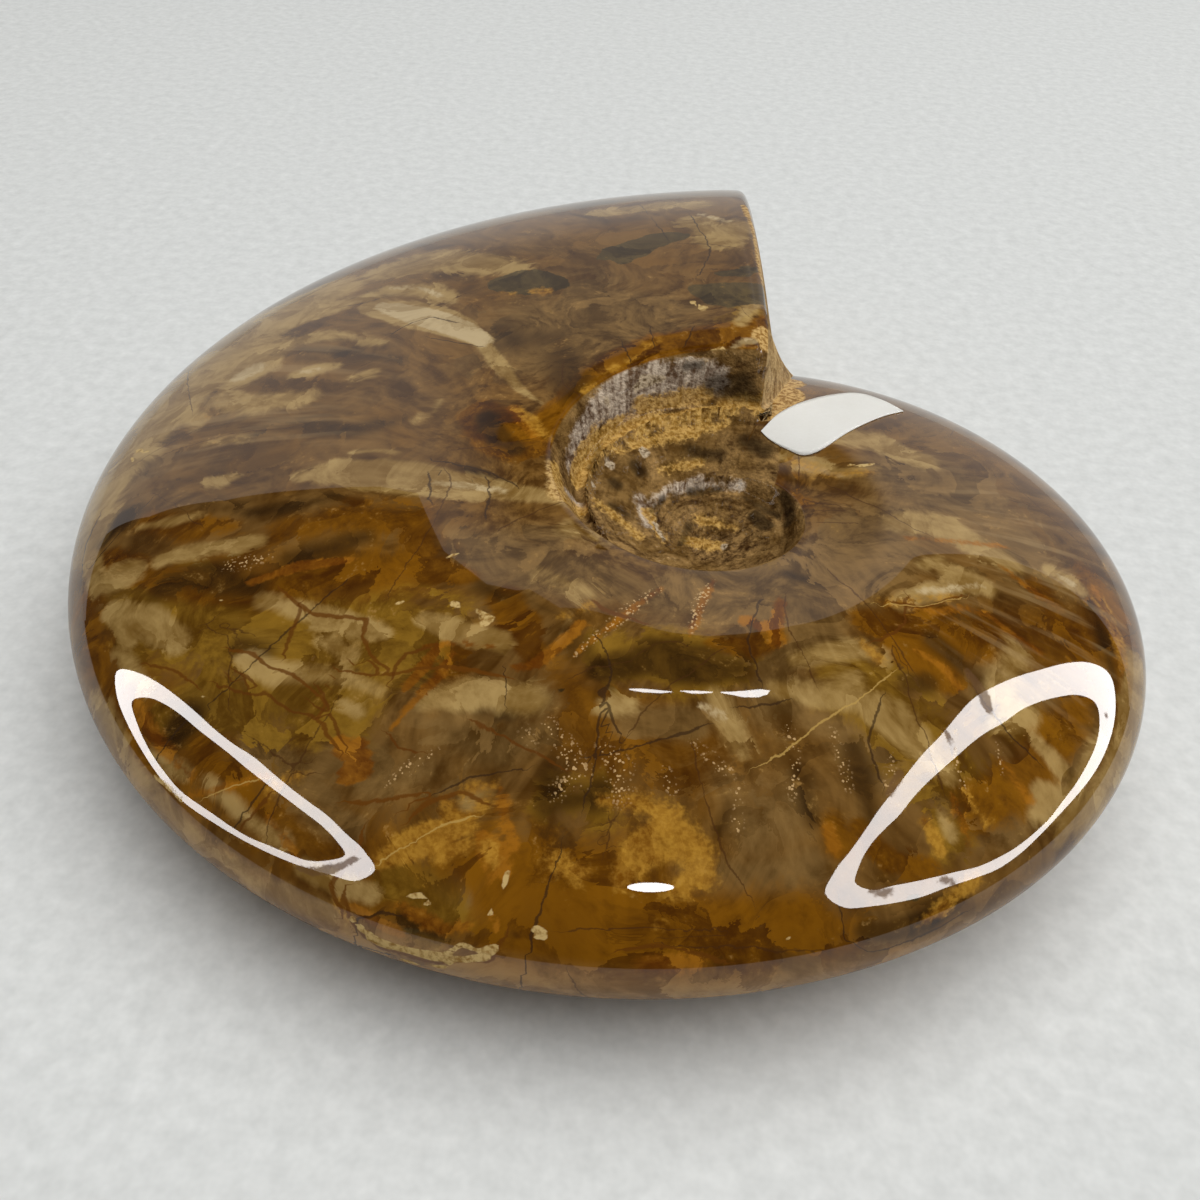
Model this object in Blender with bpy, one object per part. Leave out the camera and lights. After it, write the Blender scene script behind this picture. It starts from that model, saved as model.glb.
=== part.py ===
"""A polished fossil ammonite lying on its side, with a small blank paper label stuck to it.

The ammonite is one solid: a coiled shell turned to stone. Its radius grows by the same ratio in
every turn, so its outline, its umbilicus and its thickness are all worked out from one spiral. The
last whorl ends in a broken, smoothed face that stands against the whorl before it. The coil axis
leans a few degrees from upright, because the shell rests on the flank of its thicker, last half
turn, where a small spot is worn flat. The object stands on z = 0, centred on its own bounding box.
"""
import math

import bmesh
import bpy
from mathutils import Euler, Vector

# Driving dimensions, in metres and degrees.
APERTURE_RADIUS = 0.1058      # coil axis to the outer edge where the last whorl ends
WHORL_RATIO = 2.417           # radius now over radius one turn earlier
UMBILICUS_SHARE = 0.2102      # radius of the umbilical shoulder over the outer radius
THICKNESS_SHARE = 0.179       # half thickness at the aperture over the outer radius
THICKNESS_POWER = 0.5         # power of the growth that the thickness follows
FLANK_POWER = 1.9             # how full the flank is, 2 being an ellipse
OVAL = 0.117                  # how far the coil is squeezed, half a turn back from the aperture
SEAM_SHARE = 0.88             # radius of a whorl's seam on the older one over its shoulder's
WALL_TOP_SHARE = 1.12         # radius where its inner wall has rounded into the flank
HOLLOW = 0.28                 # how far the shoulder dips below the flank at the last whorl's start
HOLLOW_END = 220.0            # angle along the last whorl where that dip has faded
HOLLOW_SHARE = 2.2            # radius over the shoulder's where the flank is full again
PIT_FLOOR = 0.0055            # height of the stone that fills the innermost whorls
APERTURE_DIRECTION = 88.4     # direction of the outer edge at the aperture, seen from above
APERTURE_LEAN = 17.0          # how much further the last whorl runs at its seam than at that edge
LEAN_POWER = 1.5              # how quickly the lean fades towards the outer edge
FOOT_LEAN = 5.5               # how far the aperture's foot on the older whorl swings back outwards
REST_LEAN = (3.0, -1.5, 0.0)  # turn of the coil about X and Y as it settles on its lower side
FLAT_DEPTH = 0.0010           # stone worn off where it rests
LABEL_LENGTH = 0.022
LABEL_WIDTH = 0.0067
LABEL_THICKNESS = 0.0002
LABEL_GAP = 0.0003            # clearance between the label and the faceted stone
LABEL_PLACE = (0.0164, 0.0208)    # middle of the label from the coil axis, in the coil's plane
LABEL_HEADING = 48.0          # direction of its length in that plane

# Fineness of the faceted surface.
TURN = 360.0
COLUMNS = 48                  # sections round one turn
WALL_SHARES = (0.93, 0.98, 1.04)
FLANK_ROWS = 5                # rows from the wall to the radius where the next whorl's seam comes
OUTER_ROWS = 7                # rows from there to the outer edge
INNER_TURNS = 2               # older turns that show in the umbilicus
LABEL_STATIONS = 14           # cross strips along the label
LABEL_LANES = 4               # strips across it
LABEL_SQUARENESS = 5          # power of the rounded outline, 2 being an ellipse


def growth(angle):
    """Growth of the coil at an angle along it, as a share of its size at the aperture."""
    return WHORL_RATIO ** (angle / TURN - 1)


def outer_radius(angle):
    turn = math.radians(angle)
    squeeze = OVAL * math.sin(turn / 2) ** 2 * math.cos(turn)
    return APERTURE_RADIUS * growth(angle) * (1 + squeeze)


def shoulder_radius(angle):
    return APERTURE_RADIUS * UMBILICUS_SHARE * growth(angle)


def smooth(share):
    """Ease from 0 to 1 as the share goes from 0 to 1."""
    share = min(max(share, 0.0), 1.0)
    return share * share * (3 - 2 * share)


def flank_height(angle, radius):
    """Height of the flank over the middle plane, from its shoulder to the outer edge."""
    inner = shoulder_radius(angle)
    across = (radius - inner) / (outer_radius(angle) - inner)
    across = min(max(across, 0.0), 1.0)
    half_thickness = APERTURE_RADIUS * THICKNESS_SHARE * growth(angle) ** THICKNESS_POWER
    hollow = HOLLOW * min(max(1 - angle / HOLLOW_END, 0.0), 1.0)
    dip = hollow * (1 - smooth((radius / inner - 1) / (HOLLOW_SHARE - 1)))
    return half_thickness * (1 - dip) * math.sqrt(1 - across ** FLANK_POWER)


def surface_height(angle, radius, older_turns=INNER_TURNS):
    """Height of the upper surface: the flank, then its inner wall, then the whorl before it."""
    share = radius / shoulder_radius(angle)
    flank = flank_height(angle, radius)
    if share >= WALL_TOP_SHARE:
        return flank
    if older_turns == 0:
        return PIT_FLOOR
    older = surface_height(angle - TURN, radius, older_turns - 1)
    climb = smooth((share - SEAM_SHARE) / (WALL_TOP_SHARE - SEAM_SHARE))
    return max(older + (flank - older) * climb, PIT_FLOOR)


def turn_shares():
    """Radii of one turn's rows over the shoulder's, from its seam to just short of the next seam."""
    last = SEAM_SHARE * WHORL_RATIO
    step = (last / WALL_TOP_SHARE) ** (1 / FLANK_ROWS)
    flank = [WALL_TOP_SHARE * step ** index for index in range(FLANK_ROWS)]
    return [SEAM_SHARE, *WALL_SHARES, *flank]


ONE_TURN = turn_shares()
ROWS_A_TURN = len(ONE_TURN)
SEAM_ROW = INNER_TURNS * ROWS_A_TURN          # the last whorl's seam
NEXT_SEAM_ROW = SEAM_ROW + ROWS_A_TURN        # where the whorl after it would have its own
EDGE_ROW = NEXT_SEAM_ROW + OUTER_ROWS


def row_radius(angle, row):
    """Radius of a row of the surface: rows follow the spiral, and inner turns repeat the outer."""
    inner = shoulder_radius(angle)
    if row < NEXT_SEAM_ROW:
        whorl, index = divmod(row, ROWS_A_TURN)
        return inner * ONE_TURN[index] * WHORL_RATIO ** (whorl - INNER_TURNS)
    flank = outer_radius(angle) - inner
    start = math.asin(inner * (SEAM_SHARE * WHORL_RATIO - 1) / flank)
    turn = start + (math.pi / 2 - start) * (row - NEXT_SEAM_ROW) / OUTER_ROWS
    return inner + flank * math.sin(turn)


def row_span(row):
    """Angles between which a row runs: both ends of the surface lean back towards the outer edge."""
    if row <= SEAM_ROW:
        return APERTURE_LEAN, APERTURE_LEAN + TURN
    share = row_radius(TURN, row) / (SEAM_SHARE * shoulder_radius(TURN))
    whole = outer_radius(TURN) / (SEAM_SHARE * shoulder_radius(TURN))
    outward = min(math.log(share) / math.log(whole), 1.0)
    past_foot = max(row - NEXT_SEAM_ROW, 0) / OUTER_ROWS
    start = APERTURE_LEAN - FOOT_LEAN * past_foot ** 2
    return start, TURN + APERTURE_LEAN * (1 - outward) ** LEAN_POWER


CORE_RADIUS = SEAM_SHARE * shoulder_radius(TURN + APERTURE_LEAN) / WHORL_RATIO ** INNER_TURNS
CORE_MARGIN = 1.01            # points this near the core's edge close up as well


def coil_point(angle, radius, side=1):
    """Point of the upper (side 1) or lower (side -1) surface; radii inside the core close up."""
    direction = math.radians(APERTURE_DIRECTION - angle)
    height = side * surface_height(angle, radius)
    closed = math.sqrt(radius ** 2 - CORE_RADIUS ** 2)
    return Vector((closed * math.cos(direction), closed * math.sin(direction), height))


def wear_flat(mesh, lean):
    """Move the points that lie below the resting plane up to it."""
    upright = lean.to_matrix().inverted() @ Vector((0, 0, 1))
    level = min(vert.co.dot(upright) for vert in mesh.verts) + FLAT_DEPTH
    for vert in mesh.verts:
        below = level - vert.co.dot(upright)
        if below > 0:
            vert.co += upright * below


def stone_mesh():
    """The whole coil, closed: upper and lower surfaces, meeting at the edge, and the aperture."""
    shell = bmesh.new()
    grid = {}
    for side in (1, -1):
        pole = shell.verts.new((0, 0, side * PIT_FLOOR))
        for column in range(COLUMNS + 1):
            for row in range(EDGE_ROW + 1):
                start, end = row_span(row)
                angle = start + (end - start) * column / COLUMNS
                radius = row_radius(angle, row)
                if column == COLUMNS and row <= SEAM_ROW:
                    corner = grid[side, 0, row + ROWS_A_TURN]
                elif side == -1 and row == EDGE_ROW:
                    corner = grid[1, column, row]
                elif radius < CORE_RADIUS * CORE_MARGIN:
                    corner = pole
                else:
                    corner = shell.verts.new(coil_point(angle, radius, side))
                grid[side, column, row] = corner
        for column in range(COLUMNS):
            for row in range(EDGE_ROW):
                add_face(shell, (grid[side, column, row], grid[side, column + 1, row],
                                 grid[side, column + 1, row + 1], grid[side, column, row + 1]))
        for step in range(EDGE_ROW - SEAM_ROW):
            older = [min(NEXT_SEAM_ROW + step + ahead, EDGE_ROW) for ahead in (0, 1)]
            add_face(shell, (grid[side, COLUMNS, SEAM_ROW + step],
                             grid[side, COLUMNS, SEAM_ROW + step + 1],
                             grid[side, 0, older[1]], grid[side, 0, older[0]]))
    return shell


def add_face(mesh, corners):
    """A face on the corners that differ, or none where fewer than three do."""
    different = list(dict.fromkeys(corners))
    if len(different) > 2:
        mesh.faces.new(different)


def stone_point(place):
    """Point of the upper surface above a place in the coil's plane, and the way it faces there."""
    def above(x, y):
        angle = (APERTURE_DIRECTION - math.degrees(math.atan2(y, x))) % TURN
        radius = math.sqrt(x ** 2 + y ** 2 + CORE_RADIUS ** 2)
        return Vector((x, y, surface_height(angle, radius)))

    small = 0.0005
    here = above(place.x, place.y)
    facing = (above(place.x + small, place.y) - here).cross(above(place.x, place.y + small) - here)
    return here, facing.normalized()


def label_mesh():
    """A thin strip with rounded ends that follows the flank: an under and an upper sheet."""
    heading = Vector((math.cos(math.radians(LABEL_HEADING)), math.sin(math.radians(LABEL_HEADING))))
    across = Vector((-heading.y, heading.x))
    strip = bmesh.new()
    grid = {}
    for sheet, lift in enumerate((LABEL_GAP, LABEL_GAP + LABEL_THICKNESS)):
        for station in range(LABEL_STATIONS + 1):
            along = -math.cos(math.pi * station / LABEL_STATIONS)
            half = LABEL_WIDTH / 2 * (1 - abs(along) ** LABEL_SQUARENESS) ** (1 / LABEL_SQUARENESS)
            for lane in range(LABEL_LANES + 1):
                if half == 0 and lane:
                    grid[sheet, station, lane] = grid[sheet, station, 0]
                    continue
                offset = half * (2 * lane / LABEL_LANES - 1)
                place = Vector(LABEL_PLACE) + heading * along * LABEL_LENGTH / 2 + across * offset
                here, facing = stone_point(place)
                grid[sheet, station, lane] = strip.verts.new(here + facing * lift)
    for station in range(LABEL_STATIONS):
        for sheet in (0, 1):
            for lane in range(LABEL_LANES):
                add_face(strip, (grid[sheet, station, lane], grid[sheet, station + 1, lane],
                                 grid[sheet, station + 1, lane + 1], grid[sheet, station, lane + 1]))
        for lane in (0, LABEL_LANES):
            add_face(strip, (grid[0, station, lane], grid[0, station + 1, lane],
                             grid[1, station + 1, lane], grid[1, station, lane]))
    return strip


def finish(name, mesh, material, collection):
    bmesh.ops.triangulate(mesh, faces=mesh.faces)
    bmesh.ops.recalc_face_normals(mesh, faces=mesh.faces)
    data = bpy.data.meshes.new(name)
    mesh.to_mesh(data)
    mesh.free()
    data.materials.append(material)
    data.shade_smooth()
    data.set_sharp_from_angle(angle=math.radians(40))
    piece = bpy.data.objects.new(name, data)
    collection.objects.link(piece)
    return piece


def make_material(name, color, roughness):
    material = bpy.data.materials.new(name)
    material.use_nodes = True
    shader = material.node_tree.nodes["Principled BSDF"]
    shader.inputs["Base Color"].default_value = (*color, 1)
    shader.inputs["Roughness"].default_value = roughness
    shader.inputs["Metallic"].default_value = 0
    return material


for old in list(bpy.data.objects):
    bpy.data.objects.remove(old, do_unlink=True)
parts = bpy.data.collections.new("fossil_ammonite")
bpy.context.scene.collection.children.link(parts)

lean = Euler([math.radians(degrees) for degrees in REST_LEAN])
coil = stone_mesh()
wear_flat(coil, lean)
stone = make_material("polished_stone", (0.24, 0.12, 0.05), 0.12)
paper = make_material("label_paper", (0.80, 0.80, 0.78), 0.55)
ammonite = finish("ammonite", coil, stone, parts)
label = finish("paper_label", label_mesh(), paper, parts)

corners = [lean.to_matrix() @ vert.co for vert in ammonite.data.vertices]
lowest = [min(corner[axis] for corner in corners) for axis in range(3)]
highest = [max(corner[axis] for corner in corners) for axis in range(3)]
for piece in (ammonite, label):
    piece.rotation_euler = lean
    piece.location = (-(lowest[0] + highest[0]) / 2, -(lowest[1] + highest[1]) / 2, -lowest[2])
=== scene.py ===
"""A polished fossil ammonite lying on its side on a pale floor, with a small blank paper label."""
import math

import bmesh
import bpy
import numpy as np
from mathutils import Euler, Matrix, Vector
from mathutils.bvhtree import BVHTree


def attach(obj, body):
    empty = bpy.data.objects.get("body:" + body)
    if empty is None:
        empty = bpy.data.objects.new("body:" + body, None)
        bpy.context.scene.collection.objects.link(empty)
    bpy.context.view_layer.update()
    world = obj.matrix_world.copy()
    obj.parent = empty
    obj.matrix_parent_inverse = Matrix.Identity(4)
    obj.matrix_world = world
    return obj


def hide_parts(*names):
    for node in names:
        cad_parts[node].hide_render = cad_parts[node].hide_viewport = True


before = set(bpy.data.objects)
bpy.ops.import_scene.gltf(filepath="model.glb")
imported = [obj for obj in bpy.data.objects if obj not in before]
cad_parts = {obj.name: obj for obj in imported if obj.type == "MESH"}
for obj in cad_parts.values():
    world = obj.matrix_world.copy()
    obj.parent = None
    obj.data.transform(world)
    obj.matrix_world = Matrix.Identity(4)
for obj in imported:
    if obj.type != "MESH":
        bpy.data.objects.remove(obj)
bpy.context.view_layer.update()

# The fossil itself: one coiled shell, long since turned to calcite, ground smooth and polished.
# Every turn is a larger copy of the one before. The last whorl ends in a broken, worn face, and
# in the middle of the coil the older whorls are left rough in the umbilicus.

# Sizes of the coil, in metres and degrees, as the solid model has them.
APERTURE_RADIUS = 0.1058      # from the axis of the coil to the outer edge at the aperture
WHORL_RATIO = 2.417           # growth in one turn
UMBILICUS_SHARE = 0.2102      # shoulder of the umbilicus over the aperture's radius
THICKNESS_SHARE = 0.179       # half thickness at the aperture over its radius
THICKNESS_POWER = 0.5         # power of the growth that the thickness follows
FLANK_POWER = 1.9             # roundness of the flank's profile
OVAL = 0.117                  # bulge of the outline
SEAM_SHARE = 0.88             # seam over the shoulder
WALL_TOP_SHARE = 1.12         # top of the umbilicus's wall over the shoulder
HOLLOW = 0.28                 # dip of the first half whorl's flank
HOLLOW_END = 220.0            # angle where the dip ends
HOLLOW_SHARE = 2.2            # radius over the shoulder where it ends
PIT_FLOOR = 0.0055            # over the middle plane
APERTURE_DIRECTION = 88.4     # of the outer edge's end, in the plan
APERTURE_LEAN = 17.0          # lean of the aperture's inner end
LEAN_POWER = 1.5              # how the lean grows inwards
FOOT_LEAN = 5.5               # lean of the whorl's start
TURN = 360.0
INNER_TURNS = 2               # whorls inside the last one
CORE_MARGIN = 1.01            # slack round the core, where the innermost whorl closes up
MM = 1000.0                   # millimetres in a metre
REST_LEAN = Euler((math.radians(3.0), math.radians(-1.5), 0.0))
COIL_PLACE = Vector((0.015667, -0.022617, 0.016745))   # middle of the coil over the floor

# Fineness of the surface. The underside, which nothing shows, is coarser.
COLUMNS = 480
EDGE_COLUMNS = 12             # narrow columns beside the worn edge of the aperture
EDGE_NARROWING = 0.3
FACE_STEPS = 16               # strips across the aperture's face
MERGE_DISTANCE = 0.0000015    # points nearer than this are one
EDGE_REACH = 1.00002          # lets rounding errors at the outer edge fall on the middle plane
OPEN_SEAM_END = 62.0          # angle where the rough part has drawn in to the wall's top
MOUTH_SHARE = 0.19            # radius of the rough part at the aperture's foot, as a share
SIDES = {1: (24, 12, 60), -1: (8, 4, 22)}    # rows a turn, of them on the wall, rows beyond
ROW_SLACK = 0.001             # rounding error allowed in a row's number
FACE_START = 0.6              # share of the flank's rows that the aperture's face starts from
FACE_SPREAD = 2               # power that crowds the strips of the face at its outer edge
FRACTURE_STRIPS = 3           # strips over which the polish ends
WORN_STRIPS = 7               # strips of the face that the worn edge takes in

# The rough stone in the umbilicus and the crust in the seam.
ROUGH_EDGE = 1.03             # radius of the rough part over the shoulder's
ROUGH_FADE = 1.12             # how much farther in the rough part has come on in full
LUMP_SCALE = 0.33             # of the noise, a millimetre
GRIT_SCALE = 1.3
BELOW_SEAM = (-0.06, 0.03)    # turns of growth over which the rough relief sets in
CRUST_MIDDLE = 0.01           # turns of growth from the seam to the crust's middle
CRUST_WIDTH = 0.06            # from its middle to its edge
CRUST_START = (150, 230)      # degrees of coil over which the crust sets in
ROUGHNESS = 0.0011            # heights in metres
CRUST_HEIGHT = 0.0016
WEAR = 30                     # rounds of smoothing on the worn edge


class Wire:
    """A value in a node tree. Sums written on it add Math nodes; node() adds any other node."""

    def __init__(self, tree, socket):
        self.tree = tree
        self.socket = socket

    def node(self, kind, settings=None, inputs=None, output=0):
        """A new node: first its settings, then the values or links of its sockets."""
        made = self.tree.nodes.new(kind)
        for name, value in (settings or {}).items():
            if name == "points":
                curve = made.mapping.curves[0].points
                while len(curve) < len(value):
                    curve.new(1.0, 0.0)
                for point, place in zip(curve, value):
                    point.location = place
                made.mapping.update()
            else:
                setattr(made, name, value)
        for place, value in (inputs or {}).items():
            socket = made.inputs[place] if isinstance(place, int) else next(
                each for each in made.inputs if each.name == place and each.enabled)
            if isinstance(value, Wire):
                self.tree.links.new(value.socket, socket)
            else:
                socket.default_value = value
        outputs = [each for each in made.outputs if each.enabled]
        found = outputs[output] if isinstance(output, int) else made.outputs[output]
        return Wire(self.tree, found)

    def other(self, output):
        """Another output of the same node."""
        return Wire(self.tree, self.socket.node.outputs[output])

    def maths(self, operation, *values, clamp=False):
        settings = {"operation": operation, "use_clamp": clamp}
        return self.node("ShaderNodeMath", settings, dict(enumerate((self, *values))))

    def __add__(self, value): return self.maths("ADD", value)
    def __radd__(self, value): return self.maths("ADD", value)
    def __sub__(self, value): return self.maths("SUBTRACT", value)
    def __rsub__(self, value): return self.constant(value).maths("SUBTRACT", self)
    def __mul__(self, value): return self.maths("MULTIPLY", value)
    def __rmul__(self, value): return self.maths("MULTIPLY", value)
    def __truediv__(self, value): return self.maths("DIVIDE", value)
    def __pow__(self, value): return self.maths("POWER", value)
    def __gt__(self, value): return self.maths("GREATER_THAN", value)
    def __neg__(self): return self.maths("MULTIPLY", -1.0)

    def constant(self, value):
        return self.node("ShaderNodeMath", {"operation": "ADD"}, {0: value, 1: 0.0})

    def clamped(self):
        return self.maths("ADD", 0.0, clamp=True)

    def eased(self, low=0.0, high=1.0):
        """0 below low, 1 above high, and a smooth change between them."""
        return self.node("ShaderNodeMapRange", {"interpolation_type": "SMOOTHSTEP"},
                         {"Value": self, "From Min": low, "From Max": high})

    def vector(self, operation, value=None, scale=None):
        inputs = {0: self}
        if value is not None:
            inputs[1] = value
        if scale is not None:
            inputs["Scale"] = scale
        return self.node("ShaderNodeVectorMath", {"operation": operation}, inputs)

    def parts(self):
        """The three parts of a vector."""
        split = self.node("ShaderNodeSeparateXYZ", {}, {"Vector": self})
        return split, split.other("Y"), split.other("Z")


def combined(x, y, z):
    return x.node("ShaderNodeCombineXYZ", {}, {"X": x, "Y": y, "Z": z})


def noise(place, scale, detail, roughness=0.55, output="Fac"):
    return place.node("ShaderNodeTexNoise", {"noise_dimensions": "3D"}, {
        "Vector": place, "Scale": scale, "Detail": detail, "Roughness": roughness}, output)


class Branch:
    """A node group under way, with its inputs by name; close() links its outputs."""

    def __init__(self, name, kind, inputs, outputs):
        self.tree = bpy.data.node_groups.new(name, kind)
        for output, form in outputs.items():
            self.tree.interface.new_socket(output, in_out="OUTPUT", socket_type="NodeSocket" + form)
        for given, form in inputs.items():
            self.tree.interface.new_socket(given, in_out="INPUT", socket_type="NodeSocket" + form)
        source = self.tree.nodes.new("NodeGroupInput")
        self.given = {each: Wire(self.tree, source.outputs[each]) for each in inputs}
        self.start = Wire(self.tree, source.outputs[0])

    def close(self, **outputs):
        end = self.tree.nodes.new("NodeGroupOutput")
        for name, wire in outputs.items():
            self.tree.links.new(wire.socket, end.inputs[name])
        return self.tree


SHELL_SIZES = {
    "Aperture Radius": APERTURE_RADIUS,
    "Whorl Ratio": WHORL_RATIO,
    "Umbilicus Share": UMBILICUS_SHARE,
    "Thickness Share": THICKNESS_SHARE,
}
SIZE_SOCKETS = dict.fromkeys(SHELL_SIZES, "Float")


def growth(size, angle):
    return size["Whorl Ratio"] ** (angle / TURN - 1)


def outer_radius(size, angle):
    turn = angle * math.radians(1)
    bump = (turn * 0.5).maths("SINE") ** 2 * turn.maths("COSINE")
    return size["Aperture Radius"] * growth(size, angle) * (1 + OVAL * bump)


def shoulder_radius(size, angle):
    return size["Aperture Radius"] * size["Umbilicus Share"] * growth(size, angle)


def turns_out(size, radius, angle):
    """Turns of growth between a whorl's seam and a radius: 0 at the seam, 1 at the next one."""
    share = radius / (shoulder_radius(size, angle) * SEAM_SHARE)
    return share.maths("LOGARITHM", math.e) / size["Whorl Ratio"].maths("LOGARITHM", math.e)


# Height of a whorl's flank over the middle plane, from its shoulder to the outer edge.
flank = Branch("whorl_flank", "GeometryNodeTree",
               {**SIZE_SOCKETS, "Angle": "Float", "Radius": "Float"},
               {"Height": "Float", "Share": "Float"})
size, angle, radius = flank.given, flank.given["Angle"], flank.given["Radius"]
inner = shoulder_radius(size, angle)
across = ((radius - inner) / (outer_radius(size, angle) - inner) * EDGE_REACH).clamped()
thick = (size["Aperture Radius"] * size["Thickness Share"]
         * growth(size, angle) ** THICKNESS_POWER)
hollow = (1 - angle / HOLLOW_END).clamped() * HOLLOW
share = radius / inner
dip = hollow * (1 - share.eased(1.0, HOLLOW_SHARE))
flank_tree = flank.close(Height=thick * (1 - dip) * (1 - across ** FLANK_POWER) ** 0.5,
                         Share=share)

# Point of the upper or lower surface: the flank, its inner wall, and the whorls before it. The
# innermost turns close up on the axis.
surface = Branch("coil_surface", "GeometryNodeTree",
                 {**SIZE_SOCKETS, "Angle": "Float", "Radius": "Float", "Side": "Float"},
                 {"Position": "Vector"})
size, angle, radius = surface.given, surface.given["Angle"], surface.given["Radius"]
height = None
for older in reversed(range(INNER_TURNS + 1)):
    whorl = radius.node("GeometryNodeGroup", {"node_tree": flank_tree}, {
        **{name: size[name] for name in SHELL_SIZES},
        "Angle": angle - older * TURN, "Radius": radius})
    share = whorl.other("Share")
    climb = share.eased(SEAM_SHARE, WALL_TOP_SHARE)
    below = PIT_FLOOR if height is None else height
    below = (below + (whorl - below) * climb).maths("MAXIMUM", PIT_FLOOR)
    height = below + (whorl - below) * (share > WALL_TOP_SHARE)
    if older:
        height = height.maths("MAXIMUM", PIT_FLOOR)
core = (shoulder_radius(size, size["Angle"] * 0 + TURN + APERTURE_LEAN) * SEAM_SHARE
        / size["Whorl Ratio"] ** INNER_TURNS)
outside = radius > core * CORE_MARGIN
closed = (radius ** 2 - core ** 2).maths("MAXIMUM", 0.0) ** 0.5 * outside
direction = (APERTURE_DIRECTION - angle) * math.radians(1)
surface_tree = surface.close(Position=combined(
    closed * direction.maths("COSINE"), closed * direction.maths("SINE"),
    (PIT_FLOOR + (height - PIT_FLOOR) * outside) * size["Side"]))

# Radius of a row at an angle: rows follow the spiral, and each inner turn repeats the outer one.
COUNT_SOCKETS = {"Rows a Turn": "Float", "Wall Share": "Float", "Rows Beyond": "Float"}
WALL_TURN = math.log(WALL_TOP_SHARE / SEAM_SHARE) / math.log(WHORL_RATIO)
rows = Branch("row_radius", "GeometryNodeTree",
              {**SIZE_SOCKETS, **COUNT_SOCKETS, "Row": "Float", "Angle": "Float"},
              {"Radius": "Float", "Outward": "Float", "Beyond": "Float"})
size, row, angle = rows.given, rows.given["Row"], rows.given["Angle"]
inner = shoulder_radius(size, angle)
width = outer_radius(size, angle) - inner
turns = (row / size["Rows a Turn"]).maths("FLOOR")
part = row / size["Rows a Turn"] - turns
wall = size["Wall Share"]
climb = (part * WALL_TURN / wall).maths(
    "MAXIMUM", (part - wall) * (1 - WALL_TURN) / (1 - wall) + WALL_TURN)
spiral = inner * SEAM_SHARE * size["Whorl Ratio"] ** (turns + climb - INNER_TURNS)
first = (inner * (size["Whorl Ratio"] * SEAM_SHARE - 1) / width).maths("ARCSINE")
past = (row - size["Rows a Turn"] * (INNER_TURNS + 1)) / size["Rows Beyond"]
outer = inner + width * (first + (math.pi / 2 - first) * past).maths("SINE")
radius = spiral + (outer - spiral) * (past > -ROW_SLACK)
seam = inner * SEAM_SHARE
outward = ((radius / seam).maths("LOGARITHM", math.e)
           / (outer_radius(size, angle) / seam).maths("LOGARITHM", math.e)).clamped()
row_tree = rows.close(Radius=radius, Outward=outward, Beyond=past.clamped())

# Angle and radius of a point part of the way along a row. Both ends lean back outwards.
stations = Branch("row_station", "GeometryNodeTree",
                  {**SIZE_SOCKETS, **COUNT_SOCKETS, "Row": "Float", "Along": "Float"},
                  {"Angle": "Float", "Radius": "Float"})
size, row = stations.given, stations.given["Row"]
shared = {name: size[name] for name in (*SHELL_SIZES, *COUNT_SOCKETS, "Row")}
whole = row.node("GeometryNodeGroup", {"node_tree": row_tree}, {**shared, "Angle": TURN})
first = APERTURE_LEAN - FOOT_LEAN * whole.other("Beyond") ** 2
last = TURN + APERTURE_LEAN * (1 - whole.other("Outward")) ** LEAN_POWER
angle = first + (last - first) * size["Along"]
there = row.node("GeometryNodeGroup", {"node_tree": row_tree}, {**shared, "Angle": angle})
station_tree = stations.close(Angle=angle, Radius=there)

# The whole shell.
branch = Branch("coiled_shell", "GeometryNodeTree",
                {**SIZE_SOCKETS, "Pit Roughness": "Float", "Crust Height": "Float",
                 "Edge Wear": "Int", "Stone": "Material"}, {"Geometry": "Geometry"})
shell_tree, given, start = branch.tree, branch.given, branch.start
shell_tree.is_modifier = True
shared = {name: given[name] for name in SHELL_SIZES}


def lattice(columns, rows):
    """A flat grid of points, with the column and the row of each."""
    grid = start.node("GeometryNodeMeshGrid", {}, {
        "Size X": float(columns), "Size Y": float(rows),
        "Vertices X": columns + 1, "Vertices Y": rows + 1})
    x, y, _ = start.node("GeometryNodeInputPosition").parts()
    return grid, (x + columns / 2).maths("ROUND"), (y + rows / 2).maths("ROUND")


def stored(mesh, name, value, kind="FLOAT", domain="POINT"):
    return mesh.node("GeometryNodeStoreNamedAttribute", {"data_type": kind, "domain": domain},
                     {"Geometry": mesh, "Name": name, "Value": value})


def named(name, kind="FLOAT"):
    return start.node("GeometryNodeInputNamedAttribute", {"data_type": kind}, {"Name": name})


def placed(mesh, place):
    return mesh.node("GeometryNodeSetPosition", {}, {"Geometry": mesh, "Position": place})


def station(counts, row, along):
    a_turn, on_wall, beyond = counts
    return row.node("GeometryNodeGroup", {"node_tree": station_tree}, {
        **shared, "Rows a Turn": float(a_turn), "Wall Share": on_wall / a_turn,
        "Rows Beyond": float(beyond), "Row": row, "Along": along})


def coil_point(angle, radius, side):
    return radius.node("GeometryNodeGroup", {"node_tree": surface_tree}, {
        **shared, "Angle": angle, "Radius": radius, "Side": float(side)})


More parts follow.
